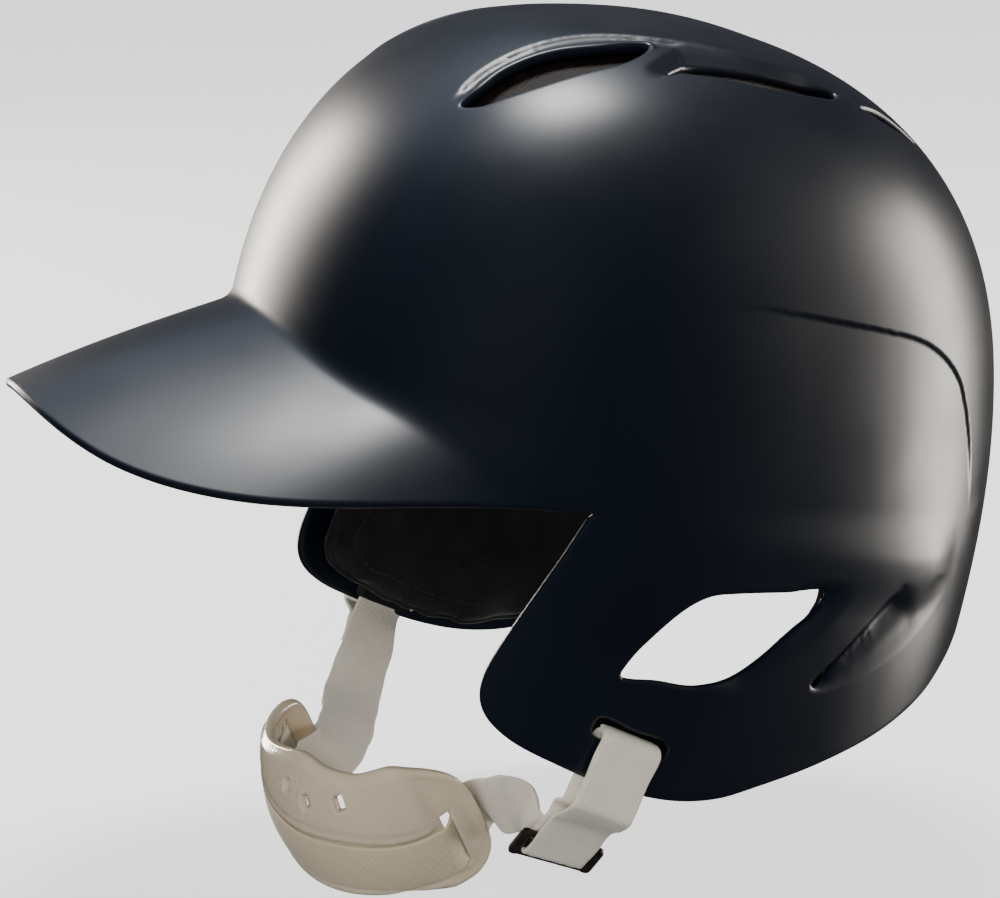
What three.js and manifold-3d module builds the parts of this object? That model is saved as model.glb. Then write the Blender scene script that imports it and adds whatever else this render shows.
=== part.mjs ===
// Batting helmet with two ear flaps, a padded liner and a webbing chin strap.
// Millimetres, +Z up. The front of the helmet faces -Y and its left side is +X.
// The origin is where the wearer's crown meets the flat underside of the crown pad.
import * as THREE from 'three';
import { mergeVertices } from 'three/addons/utils/BufferGeometryUtils.js';
import Module from 'manifold-3d';

// ---------------------------------------------------------------- driving dimensions
const SHELL_T = 3.2;                 // wall of the moulded shell
const GAP = 0.4;                     // clearance between touching pieces
const PAD_GAP = 1.8;                 // glue line between the shell and its liner
const TOP_Z = 24, WIDE_Z = -101;     // top of the shell, height of its widest section
const HALF_W = 108;                  // half width of the shell
const FRONT_B = 103.13, REAR_B = 145.57;   // half lengths ahead of and behind the centre
const YC_WIDE = 16.49, YC_TOP = 22.04;     // centre of the section at its widest and at the apex
const SQ_V = [[0, 45, 90, 135, 180], [2.286, 2.549, 2.812, 2.398, 2.09]];  // vertical squareness by plan angle
const TUCK = [[0, 60, 100, 140, 180], [0.02, 0.02, 0.03, 0.13, 0.302]];    // how far the wall draws in below the widest height
const SQ_H = 1.967, SQ_H_LOW = 0.45, SQ_H_REAR = 0.4;   // squareness of the level sections: all round, more at the flaps' front, more at the rear
const JOIN_Z = [[0, 18, 36, 54, 76, 100], [-62.7, -66.4, -75.6, -84.8, -101, -101]];  // where brim and dome meet
const BRIM_L = [[0, 18, 36, 54, 76, 82], [76.7, 68.3, 45.4, 19.1, 1.0, 0.6]];         // reach of the brim beyond the dome
const BRIM_Z = [[0, 18, 36, 54, 76, 82], [-83.7, -95.2, -103.8, -106, -111, -112]];   // height of its edge
const BRIM_T = 3.0, BRIM_CROWN = 1.8;
const PAD_T = 11, JAW_PAD_T = 9;     // liner pads, ear-flap pads
const CROWN_R = 33, CROWN_FLAT = 0;  // crown pad radius, height of its flat underside
const WEB_W = 20, WEB_T = 1.5;       // chin strap webbing
const SLOT_L = 24, SLOT_H = 5;       // strap slots in the flaps
const CUP_R = 39.2, CUP_T = 2.2;     // chin cup: radius of the arc along the strap, wall
const CUP_HALF = 91, CUP_MID = [-0.78, -35.7, -220.7], CUP_YAW = 19.9, CUP_PITCH = 33.7, CUP_ROLL = -12.2, CUP_RAISE = 2.27;
const CUP_UP = [35.5, 30.4, 28.7, 17.8], CUP_LO = [14.4, 14.4, 23.2, 16.2];   // height above and below the strap line, centre to wing
const SLIDER_L = 27, SLIDER_W = 13, SLIDER_T = 2.0;

// outline of an ear flap seen from the side, (y, z), from the notch under the brim
// forward round the flap and back along the lower edge to the nape
const FLAP = [[-7.9, -116.2], [-16.8, -125.7], [-24.4, -136.4], [-31.2, -147.1], [-38.4, -159.6], [-40.1, -165.8],
  [-39.9, -170.5], [-37.9, -175.4], [-31.5, -181.9], [-16.7, -190.6], [-4.4, -196.7], [8.4, -201.6], [21.6, -205],
  [35.2, -205.8], [49.3, -203.9], [72.2, -201], [98.1, -196.8], [121.3, -190.5], [134, -183], [146, -176], [158, -171], [176, -169]];
const EAR = [[3.2, -162.8], [10.9, -153.6], [23.7, -144.4], [32, -141.5], [40.6, -141.4], [58.5, -143.4], [72.2, -145.3],
  [73.8, -147.6], [70, -151.4], [62.5, -155.8], [49.8, -163.4], [41.1, -167.3], [32, -168.9], [24.1, -168.5], [14.3, -166]];
const SLIT = [[66.2, -173.9], [78.4, -165.6], [90.5, -157.6], [102.2, -149.6], [100.4, -152.8], [91.6, -160.4], [79.6, -168.6], [68.4, -175.2]];
// crown vents, (x, y) seen from above, on the left side
const VENT_A = [[49.8, -30], [48.5, -23.1], [46.1, -15.9], [45, -5.8], [44.9, 3.9], [46, 16.3], [46.2, 32.8], [51.3, 27.6],
  [57.4, 18.8], [59, 8.5], [59.6, -7.7], [58.1, -16.8], [55.1, -25.4]];
const VENT_B = [[61.2, 35], [56.3, 45.4], [54.1, 59.4], [48.9, 81.7], [44, 96.5], [51, 89], [56.4, 78.6], [60.6, 63.5], [61, 50.3]];
const VENT_C = [[47.5, 103], [42.6, 109], [38.5, 118], [36.2, 128], [40.6, 124], [45.2, 116], [48.2, 108]];

// ---------------------------------------------------------------- small maths
const D2R = Math.PI / 180;
const clamp = (x, a, b) => Math.min(b, Math.max(a, x));
const smooth = (x) => { const t = clamp(x, 0, 1); return t * t * (3 - 2 * t); };
function splineTable([xs, ys]) {               // cubic with level ends
  const n = xs.length, h = [], A = [], b = [];
  for (let i = 0; i < n - 1; i++) h.push(xs[i + 1] - xs[i]);
  for (let i = 0; i < n; i++) { A.push(new Array(n).fill(0)); b.push(0); }
  A[0][0] = 2 * h[0]; A[0][1] = h[0]; b[0] = 6 * (ys[1] - ys[0]) / h[0];
  A[n - 1][n - 1] = 2 * h[n - 2]; A[n - 1][n - 2] = h[n - 2]; b[n - 1] = -6 * (ys[n - 1] - ys[n - 2]) / h[n - 2];
  for (let i = 1; i < n - 1; i++) {
    A[i][i - 1] = h[i - 1]; A[i][i] = 2 * (h[i - 1] + h[i]); A[i][i + 1] = h[i];
    b[i] = 6 * ((ys[i + 1] - ys[i]) / h[i] - (ys[i] - ys[i - 1]) / h[i - 1]);
  }
  for (let i = 1; i < n; i++) { const m = A[i][i - 1] / A[i - 1][i - 1]; A[i][i] -= m * A[i - 1][i]; b[i] -= m * b[i - 1]; }
  const M = new Array(n); M[n - 1] = b[n - 1] / A[n - 1][n - 1];
  for (let i = n - 2; i >= 0; i--) M[i] = (b[i] - A[i][i + 1] * M[i + 1]) / A[i][i];
  return (x0) => {
    const x = clamp(x0, xs[0], xs[n - 1]); let i = 0; while (i < n - 2 && x > xs[i + 1]) i++;
    const t = x - xs[i], g = h[i];
    return (M[i] * (g - t) ** 3 + M[i + 1] * t ** 3) / (6 * g) + (ys[i] / g - M[i] * g / 6) * (g - t) + (ys[i + 1] / g - M[i + 1] * g / 6) * t;
  };
}
const sqV = splineTable(SQ_V), tuck = splineTable(TUCK), joinZ = splineTable(JOIN_Z);
const brimL = splineTable(BRIM_L), brimZ = splineTable(BRIM_Z);
const V3 = (x, y, z) => new THREE.Vector3(x, y, z);

// ---------------------------------------------------------------- the shell's outer surface
// th is the plan angle from the front (radians, + towards the left), s is 1 at the top and 0 at the widest height
function surf(th, s) {
  const a = Math.abs(th) / D2R, n = sqV(a), k = tuck(a), sp = clamp(s, 0, 1);
  const c = s >= 0 ? Math.pow(Math.max(0, 1 - Math.pow(sp, n)), 1 / n) : 1 - k * s * s;
  const nh = SQ_H + SQ_H_LOW * smooth(-s / 0.7) * (0.5 + 0.5 * Math.cos(th)) + SQ_H_REAR * smooth(-Math.cos(th));
  const sn = Math.sin(th), cs = Math.cos(th), r = Math.pow(Math.pow(Math.abs(sn), nh) + Math.pow(Math.abs(cs), nh), -1 / nh);
  const b = FRONT_B + (REAR_B - FRONT_B) * (0.5 - 0.5 * Math.cos(th)), yc = YC_WIDE + (YC_TOP - YC_WIDE) * smooth(sp);
  return V3(HALF_W * sn * r * c, yc - b * cs * r * c, WIDE_Z + (TOP_Z - WIDE_Z) * s);
}
const sOf = (z) => (z - WIDE_Z) / (TOP_Z - WIDE_Z);
function inset(th, s, d) {                      // the same surface moved inwards by d
  const e = 1e-3, s1 = Math.min(s + e, 0.9995), s0 = s1 - 2 * e;
  const du = surf(th + e, s).sub(surf(th - e, s)), dv = surf(th, s1).sub(surf(th, s0));
  const n = du.cross(dv).normalize();
  return surf(th, s).addScaledVector(n, -d);
}
function apex(d) { return V3(0, YC_TOP, TOP_Z - d); }

// ---------------------------------------------------------------- solids
const wasm = await Module(); wasm.setup();
function geom(pos, idx) {
  const g = new THREE.BufferGeometry();
  g.setAttribute('position', new THREE.Float32BufferAttribute(pos, 3)); g.setIndex(idx); return g;
}
function toSolid(g0) {
  let g = g0.clone(); for (const k of Object.keys(g.attributes)) if (k !== 'position') g.deleteAttribute(k);
  g = mergeVertices(g, 1e-4);
  return new wasm.Manifold(new wasm.Mesh({ numProp: 3, vertProperties: new Float32Array(g.attributes.position.array), triVerts: new Uint32Array(g.index.array) }));
}
function toGeom(m) {
  const q = m.getMesh(), p = [];
  for (let i = 0; i < q.vertProperties.length; i += q.numProp) p.push(q.vertProperties[i], q.vertProperties[i + 1], q.vertProperties[i + 2]);
  const g = geom(p, Array.from(q.triVerts)); g.computeVertexNormals(); return g;
}
// a body between two sheets given over a grid; wrap closes the first direction, pole adds a tip at the first row
function between(outer, inner, nu, nv, wrap = false, poleOut = null, poleIn = null) {
  const pos = [], idx = [], cu = wrap ? nu : nu + 1;
  for (const f of [outer, inner]) for (let j = 0; j <= nv; j++) for (let i = 0; i < cu; i++) { const p = f(i / nu, j / nv); pos.push(p.x, p.y, p.z); }
  const N = cu * (nv + 1), id = (l, i, j) => l * N + j * cu + (wrap ? (i + cu) % cu : i);
  const quad = (a, b, c, d) => idx.push(a, b, c, a, c, d);
  for (let j = 0; j < nv; j++) for (let i = 0; i < nu; i++) {
    quad(id(0, i, j), id(0, i, j + 1), id(0, i + 1, j + 1), id(0, i + 1, j));
    quad(id(1, i, j), id(1, i + 1, j), id(1, i + 1, j + 1), id(1, i, j + 1));
  }
  for (let i = 0; i < nu; i++) {
    quad(id(0, i, nv), id(1, i, nv), id(1, i + 1, nv), id(0, i + 1, nv));
    if (!poleOut) quad(id(0, i, 0), id(0, i + 1, 0), id(1, i + 1, 0), id(1, i, 0));
  }
  if (!wrap) for (let j = 0; j < nv; j++) {
    quad(id(0, 0, j), id(1, 0, j), id(1, 0, j + 1), id(0, 0, j + 1));
    quad(id(0, nu, j), id(0, nu, j + 1), id(1, nu, j + 1), id(1, nu, j));
  }
  if (poleOut) {
    const a = pos.length / 3; pos.push(poleOut.x, poleOut.y, poleOut.z, poleIn.x, poleIn.y, poleIn.z);
    for (let i = 0; i < nu; i++) { idx.push(a, id(0, i, 0), id(0, i + 1, 0)); idx.push(a + 1, id(1, i + 1, 0), id(1, i, 0)); }
  }
  const g = geom(pos, idx), p = g.attributes.position, ix = idx; let vol = 0;
  const A = V3(), B = V3(), C = V3();
  for (let k = 0; k < ix.length; k += 3) { A.fromBufferAttribute(p, ix[k]); B.fromBufferAttribute(p, ix[k + 1]); C.fromBufferAttribute(p, ix[k + 2]); vol += A.dot(B.cross(C)); }
  if (vol < 0) for (let k = 0; k < ix.length; k += 3) { const t = ix[k + 1]; ix[k + 1] = ix[k + 2]; ix[k + 2] = t; }
  g.setIndex(ix); return g;
}
// a prism of an outline given in (y, z), along X; or in (x, y), along Z
function smoothOutline(pts, n, closed = true) {
  const c = new THREE.CatmullRomCurve3(pts.map(([a, b]) => V3(a, b, 0)), closed, 'centripetal');
  return c.getPoints(n).slice(0, closed ? n : n + 1).map((p) => [p.x, p.y]);
}
function prism(pts, axis, lo, hi) {
  const sh = new THREE.Shape(pts.map(([a, b]) => new THREE.Vector2(a, b)));
  const g = new THREE.ExtrudeGeometry(sh, { depth: hi - lo, bevelEnabled: false, steps: 1 }); g.translate(0, 0, lo);
  if (axis === 'x') g.applyMatrix4(new THREE.Matrix4().makeBasis(V3(0, 1, 0), V3(0, 0, 1), V3(1, 0, 0)));
  return toSolid(g);
}
const grow = (pts, d) => {                        // offset an outline outwards along its corner normals
  const n = pts.length; let area = 0; for (let i = 0; i < n; i++) { const a = pts[i], b = pts[(i + 1) % n]; area += a[0] * b[1] - b[0] * a[1]; }
  const sg = area > 0 ? 1 : -1;
  return pts.map((p, i) => { const a = pts[(i + n - 1) % n], b = pts[(i + 1) % n]; let tx = b[0] - a[0], ty = b[1] - a[1]; const l = Math.hypot(tx, ty) || 1; return [p[0] + sg * d * ty / l, p[1] - sg * d * tx / l]; });
};
const mirrorX = (m) => m.mirror([1, 0, 0]);
// a flat strip along a path; rows give the centre, the direction of its width and the half width there
function strip(rows, t) {
  const pos = [], idx = [], n = rows.length, tan = V3(), nor = V3();
  rows.forEach((r, k) => {
    const a = rows[Math.max(0, k - 1)].p, b = rows[Math.min(n - 1, k + 1)].p; tan.copy(b).sub(a).normalize();
    const w = r.w.clone().addScaledVector(tan, -r.w.dot(tan)).normalize(); nor.copy(w).cross(tan).normalize(); const h = r.h ?? WEB_W / 2;
    for (const [u, v] of [[-1, -1], [1, -1], [1, 1], [-1, 1]]) { const q = r.p.clone().addScaledVector(w, u * h).addScaledVector(nor, v * t / 2); pos.push(q.x, q.y, q.z); }
  });
  for (let k = 0; k < n - 1; k++) for (let c = 0; c < 4; c++) { const a = 4 * k + c, b = 4 * k + (c + 1) % 4; idx.push(a, b, b + 4, a, b + 4, a + 4); }
  idx.push(0, 2, 1, 0, 3, 2); const e = 4 * (n - 1); idx.push(e, e + 1, e + 2, e, e + 2, e + 3);
  const g = geom(pos, idx); let vol = 0; const p = g.attributes.position, A = V3(), B = V3(), C = V3();
  for (let k = 0; k < idx.length; k += 3) { A.fromBufferAttribute(p, idx[k]); B.fromBufferAttribute(p, idx[k + 1]); C.fromBufferAttribute(p, idx[k + 2]); vol += A.dot(B.cross(C)); }
  if (vol < 0) for (let k = 0; k < idx.length; k += 3) { const s = idx[k + 1]; idx[k + 1] = idx[k + 2]; idx[k + 2] = s; }
  g.setIndex(idx); return g;
}
// evenly spaced rows along a smooth curve through points, with the width direction eased between them
function rowsAlong(keys, n) {
  const c = new THREE.CatmullRomCurve3(keys.map((k) => k.p), false, 'centripetal'), out = [];
  for (let i = 0; i <= n; i++) {
    const u = i / n * (keys.length - 1), k = Math.min(keys.length - 2, Math.floor(u)), f = u - k;
    out.push({ p: c.getPoint(i / n), w: keys[k].w.clone().lerp(keys[k + 1].w, f).normalize(), h: (keys[k].h ?? WEB_W / 2) * (1 - f) + (keys[k + 1].h ?? WEB_W / 2) * f });
  }
  return out;
}

const group = new THREE.Group();
const finish = {
  shell: [0x11141c, 0.3, 0], pad: [0x0e0e10, 0.75, 0], mesh: [0x191512, 0.8, 0], hook: [0x141414, 0.9, 0],
  web: [0xe0d7c8, 0.85, 0], cup: [0xcdbfa8, 0.35, 0], metal: [0x2a2624, 0.35, 0.8], plastic: [0x101012, 0.45, 0],
};
function add(name, g, f) {
  const [color, roughness, metalness] = finish[f];
  const m = new THREE.Mesh(g, new THREE.MeshStandardMaterial({ color, roughness, metalness })); m.name = name; group.add(m); return m;
}

// ---------------------------------------------------------------- shell
const ROWS = []; for (let j = 1; j <= 12; j++) ROWS.push(Math.pow(Math.cos(j / 12 * Math.PI / 2), 0.9)); for (let j = 1; j <= 7; j++) ROWS.push(-0.92 * j / 7);
ROWS[11] = 0;
const wall = (d) => (u, v) => inset((u * 360 - 180) * D2R, ROWS[Math.round(v * (ROWS.length - 1))], d);
const COLS = 52;
let shell = toSolid(between(wall(0), wall(SHELL_T), COLS, ROWS.length - 1, true, apex(0), apex(SHELL_T)));
// everything below the brim joint, ahead of the flaps and below the lower edge is open
const joint = []; for (let a = 0; a <= 74; a += 74 / 12) { const p = surf(a * D2R, sOf(joinZ(a))); joint.push([p.y, p.z - 2.6]); }
const lower = smoothOutline(FLAP, 46, false);
const open = [[-200, joint[0][1]], ...joint, [-12.5, -112.6], [-9.4, -113.2], [-7.9, -114.8], ...lower.slice(1), [260, -169], [260, -260], [-200, -260]];
shell = shell.subtract(prism(open, 'x', -200, 200));
// brim
const brimAt = (a, t, low) => {
  const th = a * D2R, A = Math.abs(a), z = joinZ(A), L = brimL(A), J = surf(th, sOf(z));
  let dx = Math.sin(th) * 0.92, dy = -Math.cos(th); const l = Math.hypot(dx, dy); dx /= l; dy /= l;
  const r = t < 0 ? -2.0 * -t / 0.2 : L * t;
  return V3(J.x + dx * r, J.y + dy * r, z + (t < 0 ? 0 : (brimZ(A) - z) * t + BRIM_CROWN * 4 * t * (1 - t) * smooth(L / 40)));
};
const brimIn = (a, t, d) => {
  const e = 0.4, f = 0.02, t0 = clamp(t, 0, 1 - f), p = brimAt(a, t);
  const du = brimAt(a + e, t0).sub(brimAt(a - e, t0)), dv = brimAt(a, t0 + f).sub(brimAt(a, t0));
  const n = du.cross(dv).normalize(); if (n.z < 0 && Math.abs(a) < 60) n.negate(); if (Math.abs(a) >= 60 && n.x * a < 0) n.negate();
  return p.addScaledVector(n, -d);
};
const T_ROWS = [-0.2, 0, 0.18, 0.4, 0.62, 0.82, 1];
const brim = toSolid(between((u, v) => brimIn(u * 162 - 81, T_ROWS[Math.round(v * 6)], 0), (u, v) => brimIn(u * 162 - 81, T_ROWS[Math.round(v * 6)], BRIM_T), 36, 6));
shell = shell.add(brim);
// ear openings, side slits, strap slots
const SLOT = V3(106.4, 5, -184), ALONG = V3(0, 0.9, -0.436).normalize(), DOWN = V3(0, -0.436, -0.9).normalize();
const slotBox = (l, h, off) => { const q = []; for (const [u, v] of [[-1, -1], [1, -1], [1, 1], [-1, 1]]) q.push([SLOT.y + ALONG.y * u * l / 2 + DOWN.y * (v * h / 2 + off), SLOT.z + ALONG.z * u * l / 2 + DOWN.z * (v * h / 2 + off)]); return q; };
for (const cut of [EAR, SLIT, slotBox(SLOT_L, SLOT_H, -0.7)]) { const p = prism(cut, 'x', 40, 200); shell = shell.subtract(p); shell = shell.subtract(mirrorX(p)); }
// crown vents
for (const v of [VENT_A, VENT_B, VENT_C]) { const p = prism(v, 'z', -45, 60); shell = shell.subtract(p); shell = shell.subtract(mirrorX(p)); }
add('shell', toGeom(shell), 'shell');

// ---------------------------------------------------------------- liner pads
const inner0 = SHELL_T + PAD_GAP;
function pad(a0, a1, z0, z1, t, nu = 10, nv = 6) {      // plan angles in degrees, heights, thickness; the sides draw in
  const soft = (u, v) => { const e = Math.min(1, 5 * Math.min(u, 1 - u)), f = Math.min(1, 4 * Math.min(v, 1 - v)); return t * (0.72 + 0.28 * Math.min(e, f)); };
  return between((u, v) => inset((a0 + (a1 - a0) * u) * D2R, sOf(z0 + (z1 - z0) * v), inner0),
    (u, v) => inset((a0 + (a1 - a0) * u) * D2R, sOf(z0 + (z1 - z0) * v), inner0 + soft(u, v)), nu, nv);
}
add('brow_pad', pad(-44, 44, -16, -57, PAD_T, 14, 5), 'pad');
add('side_pad_left', pad(58, 116, -20, -104, PAD_T, 10, 7), 'pad');
add('side_pad_right', pad(-58, -116, -20, -104, PAD_T, 10, 7), 'pad');
add('rear_pad_left', pad(130, 174, -42, -108, PAD_T, 8, 7), 'pad');
add('rear_pad_right', pad(-130, -174, -42, -108, PAD_T, 8, 7), 'pad');
add('nape_pad', pad(146, 214, -118, -160, 9, 12, 4), 'pad');
// crown pad: domed above, flat below
{
  const top = (u, v) => { const th = u * 2 * Math.PI, r = CROWN_R * v, x = r * Math.sin(th), y = YC_TOP - r * Math.cos(th); let lo = 0, hi = 1;
    // height of the inner surface above this point
    const a = Math.atan2(x, -(y - YC_TOP)); let s = 0.99; for (let k = 0; k < 40; k++) { const m = (lo + hi) / 2, p = inset(a, Math.max(m, 0.02), inner0); if (Math.hypot(p.x, p.y - YC_TOP) > r) lo = m; else hi = m; s = m; }
    return V3(x, y, r < 3 ? TOP_Z - inner0 : inset(a, s, inner0).z); };
  const rows = [0.25, 0.5, 0.72, 0.9, 1];
  const g = between((u, v) => top(u, rows[Math.round(v * 4)]), (u, v) => { const p = top(u, rows[Math.round(v * 4)]); return V3(p.x, p.y, CROWN_FLAT); }, 28, 4, true, V3(0, YC_TOP, TOP_Z - inner0), V3(0, YC_TOP, CROWN_FLAT));
  add('crown_pad', g, 'pad');
}
// ear-flap pads with a pocket for the strap; the left one has an opening at the ear, the right one runs across it
const padOut = [[2, -126], [-6, -128.5], [-13.5, -135], [-25.5, -151], [-33.6, -164.5], [-33.4, -171], [-27, -177.5], [-13.5, -185.2], [-1, -191.5], [10.6, -196.2],
  [22.4, -199.4], [35, -200], [48, -198.4], [66, -195.6], [84, -190], [88, -178], [84, -160], [80, -140], [70, -128], [40, -123.5]];
{
  const body = toSolid(between((u, v) => inset((56 + 74 * u) * D2R, sOf(-114 - 98 * v), inner0), (u, v) => inset((56 + 74 * u) * D2R, sOf(-114 - 98 * v), inner0 + JAW_PAD_T), 16, 9));
  const pocket = toSolid(between((u, v) => inset((72 + 22 * u) * D2R, sOf(-176 - 40 * v), 0), (u, v) => inset((72 + 22 * u) * D2R, sOf(-176 - 40 * v), inner0 + 4.6), 8, 4));
  const whole = body.intersect(prism(smoothOutline(padOut, 40), 'x', 40, 200)).subtract(prism(grow(SLIT, 2.5), 'x', 40, 200)).subtract(pocket);
  add('jaw_pad_left', toGeom(whole.subtract(prism(grow(EAR, 3), 'x', 40, 200))), 'pad'); add('jaw_pad_right', toGeom(mirrorX(whole)), 'pad');
}
// mesh screens glued inside the crown vents
function screenOver(poly, name, g0 = 5) {
  const out = grow(poly, g0);
  const sheetTop = toSolid(between(wall(inner0), wall(inner0 + 0.9), COLS, ROWS.length - 1, true, apex(inner0), apex(inner0 + 0.9)));
  const q = sheetTop.intersect(prism(out, 'z', -45, 60)); return q;
}
for (const [tag, poly, g0] of [['front', VENT_A, 4], ['middle', VENT_B, 4], ['rear', VENT_C, 4]]) {
  const q = screenOver(poly, tag, g0); add(`vent_screen_left_${tag}`, toGeom(q), 'mesh'); add(`vent_screen_right_${tag}`, toGeom(mirrorX(q)), 'mesh');
}

// ---------------------------------------------------------------- chin strap
const OUT = V3(1, 0, 0);
const at = (n, d, a = 0) => SLOT.clone().addScaledVector(OUT, n).addScaledVector(DOWN, d).addScaledVector(ALONG, a);
const N_OUT = 2.2, N_IN = -5.6, HINGE_D = 17;           // the two layers of the loop either side of the flap
const flip = (r) => ({ ...r, p: V3(-r.p.x, r.p.y, r.p.z), w: V3(-r.w.x, r.w.y, r.w.z) });
// fixed part: over the bar below the slot
{
  const rows = [{ p: at(N_OUT, HINGE_D - 10.6), w: ALONG }, { p: at(N_OUT, 2.4), w: ALONG }];
  const c = (N_OUT + N_IN) / 2, R = (N_OUT - N_IN) / 2;
  for (let k = 1; k <= 7; k++) { const f = k / 8 * Math.PI; rows.push({ p: at(c + R * Math.cos(f), 2.4 - 2.6 * Math.sin(f)), w: ALONG }); }
  rows.push({ p: at(N_IN, 2.4), w: ALONG }, { p: at(N_IN, HINGE_D - 10.6), w: ALONG });
  add('flap_webbing_left', strip(rows, WEB_T), 'web'); add('flap_webbing_right', strip(rows.map(flip), WEB_T), 'web');
}

// keepers: flat plastic bridges inside the flaps, over the inner layer of the webbing at the flap's edge
{
  const bx = (n0, n1, d0, d1, a0, a1) => { const g = new THREE.BoxGeometry(n1 - n0, d1 - d0, a1 - a0); g.applyMatrix4(new THREE.Matrix4().makeBasis(OUT, DOWN, OUT.clone().cross(DOWN).normalize()).setPosition(at((n0 + n1) / 2, (d0 + d1) / 2, (a0 + a1) / 2))); return toSolid(g); };
  let k = bx(-8.6, -7.0, 5.8, 14.2, -13.4, 13.4);
  for (const e of [-1, 1]) k = k.add(bx(-8.6, e > 0 ? -4.2 : -5.15, 5.8, 14.2, e > 0 ? 11.2 : -13.4, e > 0 ? 13.4 : -11.2));
  add('strap_keeper_left', toGeom(k), 'plastic'); add('strap_keeper_right', toGeom(mirrorX(k)), 'plastic');
}

// chin cup: a band bent round an arc, taller in the middle, with rolled-in upper and lower edges
const interp = (xs, ys, x) => { let i = 0; while (i < xs.length - 2 && x > xs[i + 1]) i++; const f = clamp((x - xs[i]) / (xs[i + 1] - xs[i]), 0, 1); return ys[i] * (1 - f) + ys[i + 1] * f; };
const cy = Math.cos(CUP_YAW * D2R), sy = Math.sin(CUP_YAW * D2R), cp = Math.cos(CUP_PITCH * D2R), sp2 = Math.sin(CUP_PITCH * D2R), cr = Math.cos(CUP_ROLL * D2R), sr = Math.sin(CUP_ROLL * D2R);
const CX0 = V3(cy, sy, 0), CF = V3(sy * cp, -cy * cp, -sp2), CW0 = CF.clone().cross(CX0); if (CW0.z < 0) CW0.negate();
const CX = CX0.clone().multiplyScalar(cr).addScaledVector(CW0, sr), CW = CX0.clone().multiplyScalar(-sr).addScaledVector(CW0, cr);
const CO = V3(...CUP_MID).addScaledVector(CF, -CUP_R * Math.cos(CUP_HALF * D2R));
const cupDir = (a) => CX.clone().multiplyScalar(Math.sin(a * D2R)).addScaledVector(CF, Math.cos(a * D2R));
const cupAt = (a, h, d) => CO.clone().addScaledVector(cupDir(a), CUP_R + d - (h >= 0 ? 0.0136 : 0.0057) * h * h * (1 - 0.95 * smooth((Math.abs(a) - 48) / 20))).addScaledVector(CW, h + CUP_RAISE);
const cupSheet = (d) => (u, v) => { const a = (u * 2 - 1) * CUP_HALF, au = Math.abs(u * 2 - 1), hu = interp([0, 0.35, 0.7, 1], CUP_UP, au), hl = interp([0, 0.5, 0.8, 1], CUP_LO, au), w = v * 2 - 1; return cupAt(a, w >= 0 ? hu * w : hl * w, d); };
const SLOT_A = 76, WEB_H = 1;                        // where the strap passes through the wings, its height on the cup
let cup = toSolid(between(cupSheet(CUP_T / 2), cupSheet(-CUP_T / 2), 32, 10));
const boxAlong = (c, ax, ay, az, lx, ly, lz) => { const g = new THREE.BoxGeometry(lx, ly, lz); g.applyMatrix4(new THREE.Matrix4().makeBasis(ax, ay, az).setPosition(c)); return toSolid(g); };
for (const sg of [-1, 1]) { const a = sg * SLOT_A, n = cupDir(a), t = n.clone().cross(CW).normalize(); cup = cup.subtract(boxAlong(cupAt(a, WEB_H, 0), CW, n, CW.clone().cross(n).normalize(), WEB_W + 2.4, 14, 8.6)); }
for (const a of [-44, -28, -10]) { const n = cupDir(a); cup = cup.subtract(boxAlong(cupAt(a, 21, 0), CW, n, CW.clone().cross(n).normalize(), 4.4, 24, 4.4)); }
add('chin_cup', toGeom(cup), 'cup');

// slider: a ladder frame that the loop of webbing runs either side of
const SL = V3(78, -8.5, -225.7), HIN = at((N_OUT + N_IN) / 2, HINGE_D), SD = SL.clone().sub(HIN).normalize();
const SA = ALONG.clone().addScaledVector(SD, -ALONG.dot(SD)).normalize(), SN = SA.clone().cross(SD).normalize(); if (SN.x < 0) SN.negate();
const onS = (a, d, n) => SL.clone().addScaledVector(SA, a).addScaledVector(SD, d).addScaledVector(SN, n);
const basis = SA.clone().cross(SD).dot(SN) > 0 ? [SA, SD, SN] : [SA.clone().negate(), SD, SN];
{
  let s = boxAlong(onS(0, 0, 0), ...basis, SLIDER_L, SLIDER_W, SLIDER_T);
  for (const e of [-1, 1]) s = s.add(boxAlong(onS(e * (SLIDER_L / 2 - 1.35), 0, 0), ...basis, 2.7, SLIDER_W, 3.4));
  for (const e of [-1, 1]) s = s.subtract(boxAlong(onS(0, e * 3.1, 0), ...basis, 21.2, 3.6, 8));
  add('strap_slider', toGeom(s), 'metal');
}
// moving part of the left loop: down outside the flap, round the slider's lower bar and back up inside
const disc = (n, side) => { const out = []; for (const k of [1, 0.85, 0.6, 0.3, 0]) { const d = HINGE_D - 10 * k; out.push({ p: at(n, d), w: ALONG, h: Math.max(1.2, Math.sqrt(Math.max(0, 100 - (10 * k) ** 2))) }); } return out; };
const LAY = 2.15;
{
  const mid = (n) => rowsAlong([{ p: at(n, HINGE_D + 1.5), w: ALONG }, { p: at(n, HINGE_D + 6.5), w: ALONG }, { p: onS(0, -21, n > 0 ? 2.6 : -3.2), w: SA }, { p: onS(0, -16, n > 0 ? LAY : -LAY), w: SA }], 8);
  const rows = [...disc(N_OUT), ...mid(N_OUT), { p: onS(0, 7.6, LAY), w: SA }];
  for (let k = 1; k <= 5; k++) { const f = k / 6 * Math.PI; rows.push({ p: onS(0, 7.6 + LAY * Math.sin(f), LAY * Math.cos(f)), w: SA }); }
  rows.push({ p: onS(0, 7.6, -LAY), w: SA }, ...mid(N_IN).reverse(), ...disc(N_IN).reverse());
  add('left_loop_webbing', strip(rows, WEB_T), 'web');
}
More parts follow.
